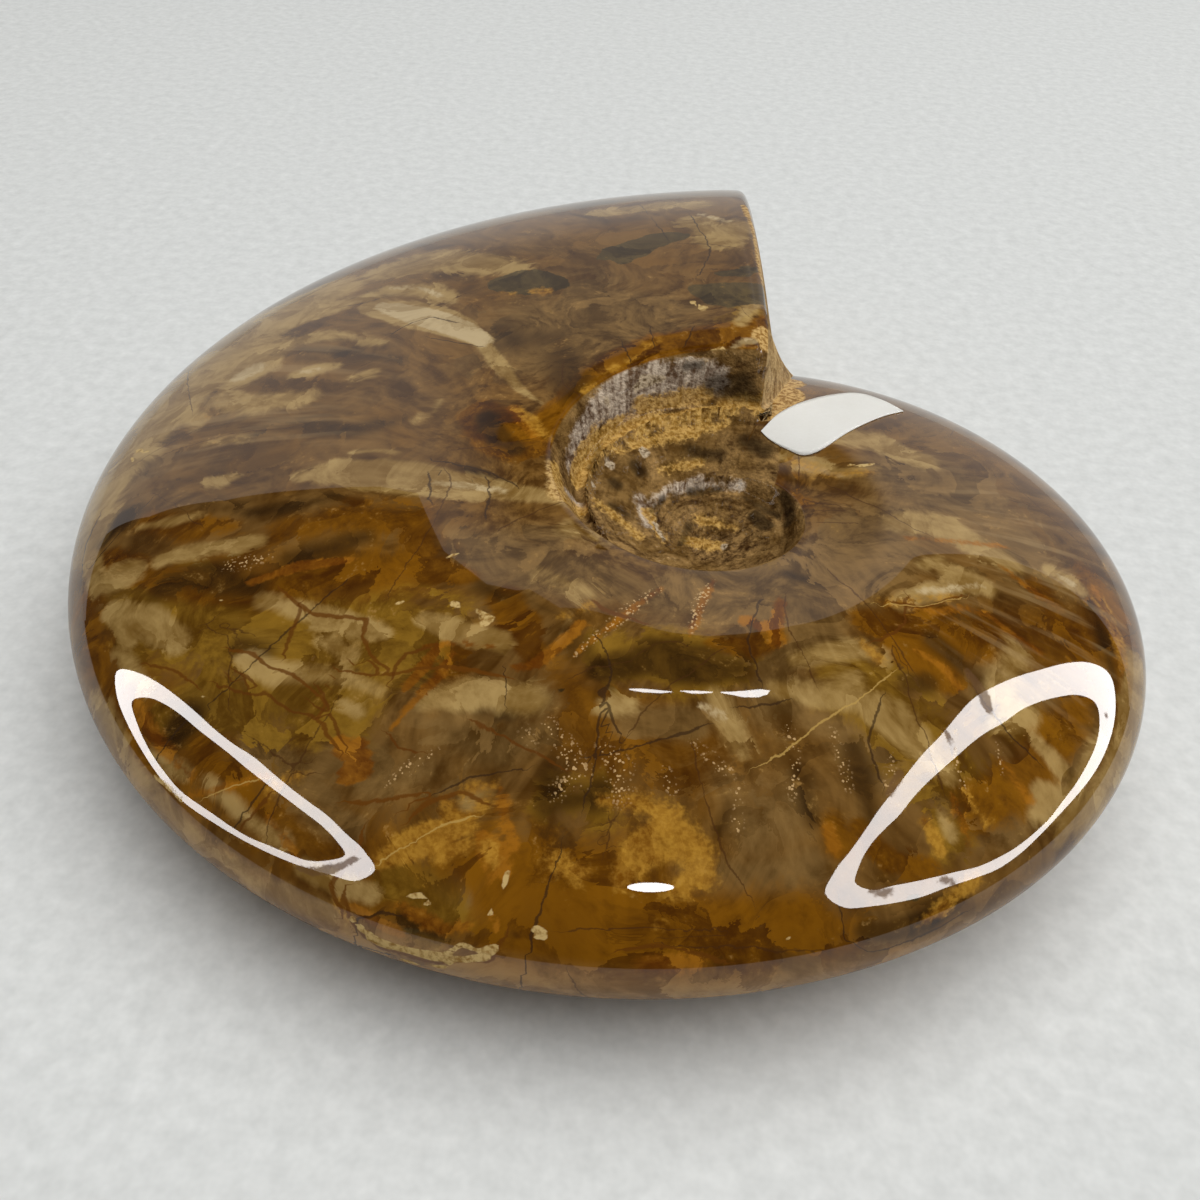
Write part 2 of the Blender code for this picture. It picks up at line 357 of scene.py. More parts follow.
angle, radius = named("angle"), named("radius")
turns = turns_out(given, radius, angle)
surfaces = []
for side, counts in SIDES.items():
    a_turn, on_wall, beyond = counts
    seam_row = INNER_TURNS * a_turn
    next_seam_row = seam_row + a_turn
    edge_row = next_seam_row + beyond

    # One side of the coil, from the core to the outer edge.
    grid, column, row = lattice(COLUMNS, edge_row)
    wide = COLUMNS - EDGE_COLUMNS
    whole = wide + EDGE_COLUMNS * EDGE_NARROWING
    along = column.maths("MINIMUM", (column - wide) * EDGE_NARROWING + wide) / whole
    there = station(counts, row, along)
    grid = stored(grid, "angle", there)
    grid = stored(grid, "radius", there.other("Radius"))
    half_wall = on_wall / 2 - 0.5
    grid = stored(grid, "worn", (1 - (COLUMNS - column) / EDGE_COLUMNS).clamped()
                  * (row > seam_row + half_wall))
    back = turns.node("GeometryNodeFieldOnDomain", {"data_type": "FLOAT", "domain": "FACE"},
                      {"Value": turns}).maths("FLOOR").maths("MINIMUM", 0.0)
    own_angle = angle + back * TURN
    grid = stored(grid, "coil_angle", own_angle / TURN, domain="CORNER")
    grid = stored(grid, "coil_reach", radius / outer_radius(given, own_angle), domain="CORNER")
    grid = placed(grid, coil_point(angle, radius, side))

    # The aperture's face on that side, spanned between the last whorl's end and the older whorl.
    match = on_wall + round((a_turn - on_wall) * FACE_START)
    steps = beyond + a_turn + beyond - match
    face, across, step = lattice(FACE_STEPS, steps)
    end_row = seam_row + (step * (match / beyond)).maths("ROUND").maths(
        "MAXIMUM", step - (beyond - match))
    older_row = next_seam_row + step.maths("MINIMUM", float(beyond))
    share = (across / FACE_STEPS) ** FACE_SPREAD
    end = station(counts, end_row, 1.0)
    older = station(counts, older_row, 0.0)
    spanned = end.node("ShaderNodeMix", {"data_type": "VECTOR"}, {
        "Factor": share, "A": coil_point(end, end.other("Radius"), side),
        "B": coil_point(older, older.other("Radius"), side)})
    face = stored(face, "fracture", (across / FRACTURE_STRIPS).clamped(), domain="CORNER")
    face = stored(face, "coil_angle", end / TURN, domain="CORNER")
    face = stored(face, "spanned", spanned, "FLOAT_VECTOR")
    face = stored(face, "radius", end.other("Radius"))
    face = stored(face, "angle", end)
    face = stored(face, "worn", (1 - across / WORN_STRIPS).clamped() * (step > half_wall))
    face = placed(face, named("spanned", "FLOAT_VECTOR"))
    for surface in (grid, face):
        if side < 0:
            surface = surface.node("GeometryNodeFlipFaces", {}, {"Mesh": surface})
        surfaces.append(surface)

joined = start.node("GeometryNodeJoinGeometry")
for surface in surfaces:
    shell_tree.links.new(surface.socket, joined.socket.node.inputs[0])
whole_shell = joined.node("GeometryNodeMergeByDistance", {}, {
    "Geometry": joined, "Distance": MERGE_DISTANCE})

# The broken edge of the aperture is worn round.
position = start.node("GeometryNodeInputPosition")
worn = position.node("GeometryNodeBlurAttribute", {"data_type": "FLOAT_VECTOR"}, {
    "Value": position, "Iterations": given["Edge Wear"], "Weight": named("worn")})
whole_shell = placed(whole_shell, worn)

# The older whorls and the floor of the umbilicus are rough stone, and a crust fills the seam.
opening = (OPEN_SEAM_END - angle).eased(0.0, OPEN_SEAM_END - APERTURE_LEAN)
rough_edge = shoulder_radius(given, angle) * ROUGH_EDGE
rough_edge = rough_edge + (given["Aperture Radius"] * MOUTH_SHARE - rough_edge) * opening
whole_shell = stored(whole_shell, "in_pit", (rough_edge / radius).eased(1.0, ROUGH_FADE))
spot = position.vector("SCALE", scale=MM)
lumps = noise(spot, LUMP_SCALE, 3.0, 0.6)
grit = noise(spot, GRIT_SCALE, 2.0, 0.6) - 0.5
crust = (1 - ((turns - CRUST_MIDDLE) / CRUST_WIDTH).maths("ABSOLUTE")).clamped().eased()
crust = crust * angle.eased(*CRUST_START)
relief = ((-turns).eased(*BELOW_SEAM) * named("in_pit")
          * ((lumps - 0.5) * 1.6 + grit * 0.7) * given["Pit Roughness"]
          + crust * (0.35 + lumps + grit * 1.2) * given["Crust Height"])
normal = start.node("GeometryNodeInputNormal")
whole_shell = whole_shell.node("GeometryNodeSetPosition", {}, {
    "Geometry": whole_shell, "Offset": normal.vector("SCALE", scale=relief)})
whole_shell = whole_shell.node("GeometryNodeRealizeInstances", {}, {"Geometry": whole_shell})
whole_shell = whole_shell.node("GeometryNodeSetMaterial", {}, {
    "Geometry": whole_shell, "Material": given["Stone"]})
branch.close(Geometry=whole_shell)

stone = bpy.data.materials.new("polished_stone")
stone.use_nodes = True
stone_tree = stone.node_tree
stone_shader = stone_tree.nodes["Principled BSDF"]
place = Wire(stone_tree, stone_tree.nodes.new("ShaderNodeTexCoord").outputs["Object"])
place = place.vector("SCALE", scale=MM)


def attribute(name):
    return place.node("ShaderNodeAttribute", {"attribute_name": name}, {}, "Fac")


def cell_pattern(place, scale, output):
    return place.node("ShaderNodeTexVoronoi", {"feature": "F1"},
                      {"Vector": place, "Scale": scale}, output)


def mixed(first, second, share):
    """A colour between two, each a colour or a link."""
    first, second = [(*color, 1) if isinstance(color, tuple) else color
                     for color in (first, second)]
    return share.node("ShaderNodeMix", {"data_type": "RGBA"},
                      {"Factor": share, "A": first, "B": second})


def mark(name, edge, softness):
    """Where a kind of mark shows: its painted field, with a ragged edge of a given softness."""
    return (attribute(name) + edge).eased(-softness, softness)


def layered(color, layers):
    """A colour with layers of marks on it. A layer is the name of its marks, a dark and a light
    colour, what shades between those, and the marks' edge, softness and strength."""
    for name, dark, light, shade, edge, softness, strength in layers:
        color = mixed(color, mixed(dark, light, shade), mark(name, edge, softness) * strength)
    return color


# Growth lines run outwards from the umbilicus, with a bend near it and a slight one beyond.
BEND_REACH = 0.56              # share of the outer radius where the bend ends
BEND_SPAN = 0.31               # and over which it grows inwards
BEND_DEGREES = 21
OUTER_BEND_DEGREES = 10
reach = attribute("coil_reach")
bend = (BEND_REACH - reach).maths("MAXIMUM", 0.0) / BEND_SPAN
outer_bend = (reach - BEND_REACH).maths("MAXIMUM", 0.0)
around = (attribute("coil_angle") * TURN + bend ** 2 * BEND_DEGREES
          + outer_bend * OUTER_BEND_DEGREES)
along_lines = combined(around * 0.2, reach * 3.0, 3.0)
swirl = noise(place, 0.12, 0.0, output="Color").vector("SUBTRACT", (0.5, 0.5, 0.5))
streaks = noise(along_lines.vector("ADD", swirl.vector("SCALE", scale=2.0)), 1.0, 3.0, 0.6)
bands = noise(along_lines.vector("MULTIPLY", (2.4, 1.2, 1.0)), 1.0, 2.0, 0.5)

# The mosaic: clouds, finer mottling and angular cells, all drawn out by the same swirl.
swirled = place.vector("ADD", swirl.vector("SCALE", scale=9.0))
clouds = noise(swirled, 0.11, 2.0, 0.6)
mottle = noise(swirled, 0.42, 4.0, 0.64)
specks = noise(place, 1.7, 2.0, 0.6)
cell, cell_too, cell_tone = cell_pattern(
    swirled.vector("ADD", (mottle - 0.5) * 5), 0.21, "Color").parts()
soft_edge = (clouds - 0.5) * 1.2 + (cell - 0.5) * 0.9 + (mottle - 0.5) * 1.8
ragged_edge = (mottle - 0.5) * 2.0 + (cell_too - 0.5) * 0.5 + (specks - 0.5) * 1.2
tone = (mottle * 0.7 + cell_tone * 0.3).eased(0.3, 0.7)
deep = clouds.eased(0.35, 0.65)
grown = mottle + (streaks * 0.75 + bands * 0.25 - mottle) * reach.eased(0.25, 0.5)
grown = grown.eased(0.36, 0.64)


def streaked(share):
    """The mosaic's tone with a share of the growth lines."""
    return tone * (1 - share) + grown * share


# The stone's own colours, the broad ones first and the small sharp ones last.
color = mixed((0.060, 0.023, 0.0020), (0.212, 0.108, 0.026), streaked(0.8))
color = mixed(color, mixed((0.072, 0.027, 0.0015), (0.190, 0.082, 0.009), tone), deep * 0.5)
color = layered(color, (
    ("golden", (0.060, 0.018, 0.0006), (0.222, 0.087, 0.004), streaked(0.4),
     soft_edge * 0.6, 0.6, 0.92),
    ("slate", (0.072, 0.034, 0.006), (0.240, 0.134, 0.040), streaked(0.4), soft_edge, 0.6, 0.88),
    ("olive", (0.078, 0.030, 0.0004), (0.270, 0.142, 0.013), streaked(0.2), soft_edge, 0.4, 0.88),
    ("amber", (0.058, 0.016, 0.0003), (0.220, 0.083, 0.002), streaked(0.2),
     soft_edge * 0.7, 0.45, 0.92),
    ("dark", (0.018, 0.007, 0.001), (0.065, 0.027, 0.003), tone, soft_edge * 0.9, 0.6, 0.85),
    ("cream", (0.210, 0.110, 0.020), (0.470, 0.315, 0.115), streaked(0.3),
     soft_edge * 0.7, 0.5, 0.8),
    ("bright", (0.340, 0.230, 0.095), (0.600, 0.460, 0.255), tone * 0.7 + cell * 0.3,
     ragged_edge, 0.6, 0.85),
    ("spot", (0.026, 0.016, 0.004), (0.085, 0.058, 0.018), tone,
     ragged_edge * 0.5 + 0.1, 0.2, 0.85),
    ("rust", (0.115, 0.030, 0.001), (0.350, 0.132, 0.008), tone, ragged_edge, 0.5, 0.85),
    ("gold", (0.180, 0.058, 0.001), (0.490, 0.250, 0.030),
     tone * 0.6 + specks.eased(0.35, 0.65) * 0.4, ragged_edge * 1.1, 0.7, 0.8)))

# Pale ribs along the growth lines, and the rim, paler where it turns under: partly the stone's own
# colour and partly a painted reflection of the pale floor.
ribs = bands.eased(0.50, 0.64) * mark("ribs", soft_edge * 0.5, 0.7) * reach.eased(0.45, 0.75)
color = mixed(color, (0.400, 0.270, 0.120), ribs * 0.28)
rim = attribute("rim")
color = mixed(color, mixed((0.210, 0.095, 0.015), (0.480, 0.280, 0.100), tone),
              rim.eased(0.35, 1.0) * 0.6)

# Cracks and rusty veins follow lines drawn on the stone. Each has the distance to its line, a
# half width in millimetres, a colour and a strength.
wander = (mottle - 0.5) * 1.2
for name, thick, line_color, strength in (
        ("crack", 0.10, (0.035, 0.016, 0.006), 0.75),
        ("hair", 0.07, (0.060, 0.022, 0.005), 0.65),
        ("vein", 0.20, (0.125, 0.040, 0.003), 0.85),
        ("vein_too", 0.18, (0.110, 0.034, 0.003), 0.8),
        ("pale", 0.07, (0.480, 0.300, 0.080), 0.7)):
    thickness = clouds.eased(0.3, 0.7) * thick + thick * 0.5
    off = (attribute(name) + wander).maths("ABSOLUTE") / thickness
    line = (1 - off.eased(0.6, 1.6)) * attribute(name + "_near").eased(0.1, 0.7)
    color = mixed(color, line_color, line * strength)

# Gold grains under the polish, with their glint painted into the colour as bright specks, and chips
# out of the polish.
glint_cells = cell_pattern(place, 2.7, "Distance") + (specks - 0.5) * 1.5
sparkle = (1 - glint_cells.eased(0.20, 0.34)) * mark("sparkle", ragged_edge * 0.8, 0.6)
color = mixed(color, (0.62, 0.40, 0.18), sparkle * 0.8)
chips = mark("chip", ragged_edge * 0.4 - 0.2, 0.2)
color = mixed(color, mixed((0.28, 0.15, 0.035), (0.60, 0.42, 0.17), specks.eased(0.3, 0.6)),
              chips * 0.9)

# The umbilicus: rough brown matrix, a silvery wall and a tan crust.
pit = attribute("in_pit").maths("MAXIMUM", attribute("matrix")).eased(0.3, 0.7)
rings = noise(combined(around * 0.06, reach * 42.0, swirl.parts()[0] * 3.0), 1.0, 2.0, 0.6)
wall_lines = noise(combined(around * 0.45, reach * 26.0, 1.0), 1.0, 2.0, 0.6)
pit_tone = (mottle * 0.5 + specks * 0.2 + rings * 0.3).eased(0.37, 0.65)
silver_tone = (wall_lines * 0.3 + mottle * 0.45 + specks * 0.25).eased(0.40, 0.62)
pit_color = mixed((0.042, 0.018, 0.006), (0.380, 0.225, 0.080), pit_tone)
pit_color = mixed(pit_color, (0.120, 0.060, 0.012), (1 - deep) * 0.6)
pit_color = layered(pit_color, (
    ("nacre", (0.110, 0.062, 0.036), (0.640, 0.530, 0.410), silver_tone,
     ragged_edge * 1.1, 0.6, 0.85),
    ("tan", (0.26, 0.13, 0.02), (0.56, 0.34, 0.10), specks.eased(0.32, 0.68),
     ragged_edge * 1.3, 0.5, 0.9),
    ("pebble", (0.15, 0.10, 0.05), (0.50, 0.39, 0.26), specks.eased(0.35, 0.6),
     ragged_edge * 0.5, 0.4, 1.0)))
pit_color = mixed(pit_color, (0.014, 0.008, 0.004), mark("shade", ragged_edge * 0.7, 0.6) * 0.75)
color = mixed(color, pit_color, pit)
tan_edge = mark("tan", ragged_edge * 0.6, 0.5) * (1 - pit)
color = mixed(color, mixed((0.26, 0.13, 0.03), (0.62, 0.40, 0.15), specks.eased(0.35, 0.62)),
              tan_edge * 0.9)

# The aperture's broken face, and the dull scars that cross the polish.
broken = attribute("fracture").eased(0.2, 0.9)
color = mixed(color, mixed((0.16, 0.085, 0.03), (0.58, 0.40, 0.19), pit_tone), broken)
dull = mark("dull", ragged_edge, 0.4)
color = mixed(color, (0.120, 0.060, 0.028), dull * 0.6)

# The polish is a clear coat, which the rough, chipped and worn places lose. Along the rim it is
# thinned, and the painted reflection of the floor stands in for its own.
rough = pit.maths("MAXIMUM", broken)
clear = mark("clear", ragged_edge * 0.4, 0.5)
coat = (1 - rough * 0.94 - chips * 0.5 - dull * 0.8 - rim * 0.45 - tan_edge * 0.6
        - clear * 0.75)
bump = place.node("ShaderNodeBump", {}, {
    "Strength": rough * 0.5, "Distance": 0.0007, "Height": specks})
for socket, value in (("Base Color", color), ("Coat Weight", coat),
                      ("Roughness", rough * 0.25 + 0.45), ("Normal", bump)):
    stone_tree.links.new(value.socket, stone_shader.inputs[socket])
for socket, value in (("Coat Roughness", 0.015), ("Coat IOR", 1.6), ("Specular IOR Level", 0.0)):
    stone_shader.inputs[socket].default_value = value

shell = bpy.data.objects.new("ammonite_stone", bpy.data.meshes.new("ammonite_stone"))
bpy.context.scene.collection.objects.link(shell)
coiling = shell.modifiers.new("coil", "NODES")
coiling.node_group = shell_tree
values = {**SHELL_SIZES, "Pit Roughness": ROUGHNESS, "Crust Height": CRUST_HEIGHT,
          "Edge Wear": WEAR, "Stone": stone}
for item in shell_tree.interface.items_tree:
    if item.in_out == "INPUT":
        coiling[item.identifier] = values[item.name]
made = bpy.data.meshes.new_from_object(
    shell.evaluated_get(bpy.context.evaluated_depsgraph_get()))
shell.modifiers.remove(coiling)
shell.data = made
closed = bmesh.new()
closed.from_mesh(made)
bmesh.ops.recalc_face_normals(closed, faces=closed.faces)
closed.to_mesh(made)
closed.free()
made.transform(Matrix.LocRotScale(COIL_PLACE, REST_LEAN, None))
points = np.empty(len(made.vertices) * 3, np.float32)
made.vertices.foreach_get("co", points)
points = points.reshape(-1, 3)
points[:, 2] = np.maximum(points[:, 2], 0.0)     # the spot that it rests on is worn flat
made.vertices.foreach_set("co", points.ravel())
made.shade_smooth()

# Marks seen on the stone, by kind. A stroke is its softness and then its places: x, y and z in
# millimetres and the half width there. A line is only places.
MARKS = {
    "slate": (
        (3.9, (-13, -39, 31, 3.4), (-7, -40, 31, 4.7), (0, -41, 31, 4.6), (7, -43, 31, 2.7)),
        (3.8, (12, -44, 30, 4.1), (20, -41, 30, 5.1), (27, -40, 30, 6.2), (33, -34, 30, 7.2),
         (38, -26, 30, 5.8)), (3, (23, -51, 29, 2.2), (27, -48, 30, 3.2), (30, -45, 30, 2.7)),
        (3.5, (-11, -61, 26, 2.5), (-6, -60, 27, 3), (-2, -58, 28, 2.1)), (3.6, (-21, -67, 23, 2.5),
         (-15, -68, 24, 2.7), (-10, -67, 25, 2.2)), (3.4, (20, -67, 26, 2.5), (23, -71, 24, 3.1),
         (27, -67, 25, 1.9)), (5.3, (40, -15, 30, 6), (47, -19, 29, 7.9), (53, -29, 28, 5.4)),
        (7.2, (-10, 5, 35, 8.9), (-2, 11, 36, 10.8), (7, 10, 37, 7.8)), (5.9, (-61, -13, 24, 5.5),
         (-60, -26, 22, 3.4)), (1.6, (10, -61, 28, 1.6), (16, -60, 28, 1.3)),
        (1.1, (-29.9, -64, 22.4, 2), (-24.6, -67.3, 22.2, 2.4), (-19.6, -70.3, 21.9, 1.6)),
        (0.8, (-8.9, -75.5, 20.9, 1.2), (-6.1, -77.5, 20.1, 1.4), (-4.7, -78.5, 19.4, 1)),
        (1.1, (-38.4, -58.8, 21.9, 1.7), (-32.9, -61.6, 22.5, 1.8)), (1.3, (23, -51, 29, 3),
         (29, -48, 29, 3.4)), (2.1, (-11, -59, 27, 2.3), (-4, -60, 28, 2.7), (0, -59, 28, 2.3)),
        (2.2, (18, -75, 22, 2.2), (23, -74, 22, 2.4), (28, -73, 22, 2.3)), (2.1, (43, -65, 23, 2.3),
         (48, -62, 23, 2.8), (53, -57, 23, 3)), (2.2, (-2, -43, 31, 3), (4, -44, 31, 3.2)),
        (2.5, (24, -55, 28, 3.6), (32, -57, 28, 4.3), (37, -61, 26, 4.2), (42, -63, 24, 3.5),
         (48, -64, 21, 2.5)), (1.9, (-10, -63, 26, 2), (-3, -65, 26, 2.2), (1, -63, 27, 1.5)),
        (1.5, (-23, -70, 21, 1.4), (-17, -73, 21, 1.5)), (2.7, (47, -50, 27, 3.2), (54, -51, 24, 3.7),
         (56, -56, 22, 2.9)), (1.8, (-35, -52, 25, 1.4), (-31, -53, 26, 1.4)),
    ),
    "olive": (
        (6.4, (-53, -44, 22, 5.5), (-43, -50, 24, 6.8), (-33, -52, 25, 7), (-24, -53, 27, 6.6),
         (-14, -53, 28, 5.5)), (4.6, (-38, -59, 22, 4.8), (-29, -60, 24, 5.6), (-20, -60, 26, 4.1)),
        (2.6, (-12, -77, 19, 1.5), (-8, -77, 20, 2.3), (-6, -80, 18, 2.3), (-8, -81, 15, 1.2)),
        (2.1, (8, -53, 29, 4.1), (15, -53, 29, 4.1), (20, -53, 29, 1.9)), (3.9, (32, -52, 28, 5),
         (37, -57, 27, 4.1), (43, -61, 24, 4.3)), (2.1, (39, -64, 24, 1.8), (42, -67, 22, 2.1)),
        (2.6, (3, -69, 25, 2.5), (7, -70, 25, 2.4)), (2.9, (17, 8, 37, 2.7), (20, 15, 37, 2.4)),
        (2.7, (49, -53, 25, 2.9), (54, -53, 24, 2.2)),
    ),
    "amber": (
        (0.7, (22, 5.2, 36.6, 5), (17.8, 4.6, 37.2, 3.5), (13, 3.4, 36.8, 3.2), (7.8, 1.2, 36.3, 3.5),
         (3.9, -2.1, 35.8, 3.6), (0.3, -6.4, 35.2, 3.2), (-2, -10.9, 34.6, 2.9),
         (-4.5, -15.4, 34, 3.4)), (1.5, (-6, -18, 34, 3.7), (-8, -20, 33, 4), (-11, -19, 33, 4.1),
         (-14, -15, 33, 2.7)), (2.1, (-53, -32, 24, 2), (-47, -34, 26, 2.4), (-41, -35, 27, 1.7)),
        (3.2, (-34, -36, 29, 2), (-27, -34, 30, 2.5), (-20, -35, 31, 2.7), (-16, -40, 30, 2),
         (-21, -43, 29, 2.8), (-28, -44, 28, 2.6), (-33, -46, 27, 2.1)), (2.6, (-58, -42, 19, 2.6),
         (-54, -50, 19, 2.3), (-49, -56, 18, 1.8), (-43, -64, 17, 2)), (2.9, (-36, -64, 21, 1.6),
         (-33, -67, 20, 2.6), (-29, -68, 21, 1.7)), (4, (-8, -75, 22, 2.5), (1, -76, 22, 3.4),
         (7, -78, 21, 4.3), (13, -80, 19, 4), (20, -79, 19, 4.4), (28, -77, 19, 3.7),
         (32, -76, 18, 2.6)), (4, (-2, -82, 16, 2.6), (5, -82, 17, 3.2), (14, -82, 16, 2.7),
         (24, -80, 17, 2.7)), (0.9, (-5.8, -46.9, 30.1, 2.1), (-3.4, -50.2, 29.6, 2.5),
         (-1.7, -54, 29, 1.7)), (2.5, (38, -42, 29, 2), (41, -43, 29, 2.6), (45, -44, 28, 2.3),
         (49, -43, 28, 2.1)), (2.9, (62, -27, 25, 2.6), (64, -33, 24, 3.7), (65, -40, 22, 3.6),
         (63, -48, 21, 2.3)), (2.8, (45, -63, 23, 2.7), (51, -58, 23, 3.2), (55, -52, 24, 2.9),
         (58, -48, 24, 1.9)), (1.6, (30, -68, 24, 1.3), (31, -70, 23, 1.7)),
        (1.1, (17.1, -50.4, 29.6, 1), (20.7, -50.3, 29.5, 1.5), (24.1, -48, 29.6, 1.1)),
        (3.3, (14, -5, 30, 2.4), (22, -15, 27, 2.9), (26, -20, 28, 2.3)), (2.2, (55, -33, 27, 1.7),
         (57, -37, 26, 2.1), (59, -41, 25, 2)), (2.8, (-38, -69, 13, 3), (-27, -76, 12, 4),
         (-18, -79, 13, 2.8)), (3.2, (-9, -52, 29, 1.2), (-9, -57, 28, 1.2), (-11, -60, 27, 1.2)),
        (1.3, (-57, -36.8, 21.6, 2.1), (-49.7, -41.1, 23.6, 2.1), (-42, -44.6, 25.2, 2.2),
         (-35.6, -45.4, 26.6, 2.1), (-30.1, -43.6, 28, 1.8)), (0.9, (-18.8, -41.5, 29.9, 1.4),
         (-15, -43, 30, 1.9), (-10.2, -43.9, 30.3, 1.1)), (1.4, (-1, -78, 20, 2.4), (5, -80, 19, 3),
         (11, -80, 19, 2.5)), (1.1, (-35.7, -63.9, 20.6, 1.1), (-30.3, -68.7, 19.8, 1.7),
         (-25.7, -71.7, 19.5, 0.9)), (1.4, (34, -44, 30, 1.9), (38, -47, 29, 2.2), (43, -50, 27, 1.6)),
        (1, (32.8, -68.4, 23.6, 1.3), (35.9, -70.3, 21.9, 1.5), (40, -70.2, 20.8, 1.1)),
    ),
    "dark": (
        (1.7, (-60, -32, 21, 2.3), (-57, -29, 23, 2)), (1.8, (-47, -30, 26, 0.9), (-39, -33, 28, 1.4),
         (-33, -32, 29, 1.2), (-29, -31, 30, 0.5)), (2.3, (-47, -43, 24, 1.7), (-41, -43, 26, 2.2),
         (-35, -45, 27, 1.5)), (2.2, (-32, -41, 28, 1.8), (-28, -40, 29, 1.5), (-24, -38, 30, 0.9)),
        (1.9, (-44, -18, 29, 0.5), (-38, -16, 30, 1.2), (-31, -18, 31, 1.1), (-25, -16, 32, 0.5)),
        (1.8, (-44, 4, 30, 0.6), (-36, 1, 31, 1.2), (-28, -2, 33, 0.6)), (1, (-13.2, -15.8, 33.4, 1.4),
         (-11.2, -19.8, 33.1, 1.7), (-8.8, -21.7, 33.1, 1)), (1.3, (6, -55, 29, 2.1),
         (11, -53, 29, 2.7), (16, -53, 29, 2.7), (20, -53, 29, 1.5)), (1, (-15.5, -25.8, 32.2, 0.4),
         (-12.3, -26.6, 32.4, 0.5), (-8.9, -28.4, 32.4, 0.4)), (1.6, (2, -67, 26, 1.5),
         (3, -70, 25, 1.8), (7, -69, 25, 1.4)), (1.7, (32, -60, 27, 1), (33, -64, 25, 1.3),
         (34, -67, 24, 0.9)), (1.4, (27, -64, 26, 0.7), (28, -68, 24, 1)), (1.4, (19, -71, 24, 0.8),
         (20, -68, 25, 0.6)), (0.9, (33.5, -76.1, 18.2, 1), (36.4, -75.4, 17.4, 1.5),
         (39.9, -73.8, 17.4, 1.8), (42.3, -72, 18.1, 1.2)), (1, (-10.1, -80, 16.9, 0.9),
         (-7.5, -80.5, 16.9, 0.9), (-5.5, -81.1, 16.5, 0.5)), (1.8, (25, -20, 26, 1),
         (24, -25, 25, 0.5)), (1.5, (61, -32, 25, 0.5), (62, -37, 24, 0.9), (63, -44, 23, 0.9)),
        (1.4, (41, -45, 29, 0.7), (46, -49, 27, 0.8), (47, -54, 26, 0.8)), (1.3, (38, -52, 28, 1),
         (40, -51, 28, 0.8)), (1.6, (-38, -61, 21, 1.9), (-40, -64, 19, 1.4)), (1.5, (4, -53, 29, 0.7),
         (6, -58, 28, 0.6)), (1.4, (4.7, 1.4, 36.1, 0.4), (-0.3, -2.9, 35.4, 0.4),
         (-3.7, -8.3, 34.7, 0.4)), (1.6, (-9, -45, 30, 0.8), (-4, -47, 30, 0.8), (0, -48, 30, 0.4)),
        (3.7, (-15, 1, 34, 0.6), (-7, 4, 35, 1.5), (-3, -10, 35, 0.9)), (1.9, (1, -52, 29, 0.3),
         (4, -52, 30, 0.4)), (3.5, (-16, 7, 34, 1.2), (-12, 1, 35, 1.1)), (1.7, (1, -50, 30, 0.9),
         (3, -54, 29, 0.8)), (1.2, (-6, -61, 27, 0.6), (-3, -61, 27, 0.6)), (1.6, (-35, -53, 25, 0.8),
         (-31, -54, 25, 0.8)), (1.2, (25.5, -37.3, 29.5, 0.3), (30, -38.6, 29.7, 0.5)),
        (0.9, (11.6, -72.1, 23.9, 0.3), (14.3, -72.6, 23.5, 0.4)),
    ),
    "cream": (
        (0.5, (-36, 15.1, 31.3, 2.6), (-30, 12, 32.5, 3.7), (-24.8, 8.9, 33.2, 3.4),
         (-20.9, 5.9, 33.7, 2.6), (-17.8, 2.9, 34, 1.6)), (0.7, (-17.4, 2.3, 34, 1.1),
         (-13.7, -3.9, 34.2, 1), (-10.4, -9.1, 34.1, 0.5), (-7, -12.4, 34.1, 0.4)),
        (1.9, (-41, 18, 30, 1.5), (-36, 21, 31, 2.5), (-30, 20, 32, 2.6), (-25, 16, 33, 1.3)),
        (1.5, (-52.5, -4.3, 27.3, 1.6), (-50.9, -1.7, 27.9, 3.2), (-49.1, 0.5, 28.4, 3.4)),
        (1.2, (-52.6, -5.3, 27.2, 1.3), (-47.7, -8.7, 28.5, 1.4), (-42.1, -10.3, 29.7, 0.6)),
        (1.3, (-42.7, -3.3, 29.9, 1.2), (-39.4, -2.6, 30.6, 1.2), (-36.7, -2, 31.1, 0.4)),
        (1, (-33.9, -5.7, 31.5, 0.6), (-31.9, -4.7, 31.8, 1.1), (-30.4, -4.1, 32.1, 0.4)),
        (1.4, (-51, -17.8, 26.9, 0.6), (-47.7, -17.7, 27.8, 1.1), (-44.2, -18.8, 28.6, 0.5)),
        (0.9, (-48.1, -26, 26.8, 0.5), (-45.6, -26.1, 27.5, 1.2), (-43.3, -25.8, 28.1, 0.4)),
        (1, (-34.9, -27, 29.6, 1.1), (-31.2, -26.3, 30.3, 2.3), (-26, -26.9, 31, 2.9),
         (-20.7, -27.7, 31.5, 3), (-15.6, -28.8, 31.9, 2.4), (-9.3, -29.7, 32.2, 1.7),
         (-3.8, -30.1, 32.4, 1.1), (-1.1, -31, 32.1, 0.5)), (0.6, (-29.6, -22.7, 30.9, 0.3),
         (-25.8, -22.3, 31.5, 0.4), (-23.1, -23, 31.7, 0.3)), (1.3, (-49.2, -39, 24.3, 0.9),
         (-42.9, -38.2, 26.3, 1.2), (-36.9, -37.8, 27.7, 0.8)), (1.8, (-55, -40, 22, 2),
         (-53, -40, 23, 1.9)), (1.3, (-52, -45.6, 21.4, 1.6), (-46.9, -48.5, 22.6, 2),
         (-42.2, -51.3, 23.4, 1.8)), (1.2, (-33.6, -46.9, 26.7, 1), (-27.4, -48.9, 27.4, 1.4),
         (-22.3, -50.8, 27.8, 1.6), (-18.6, -52, 28, 0.9)), (0.9, (-14.1, -49.8, 28.9, 1),
         (-11.1, -51, 29, 1.5), (-7.5, -52.4, 28.9, 1)), (1.4, (-33, -55, 25, 1.1),
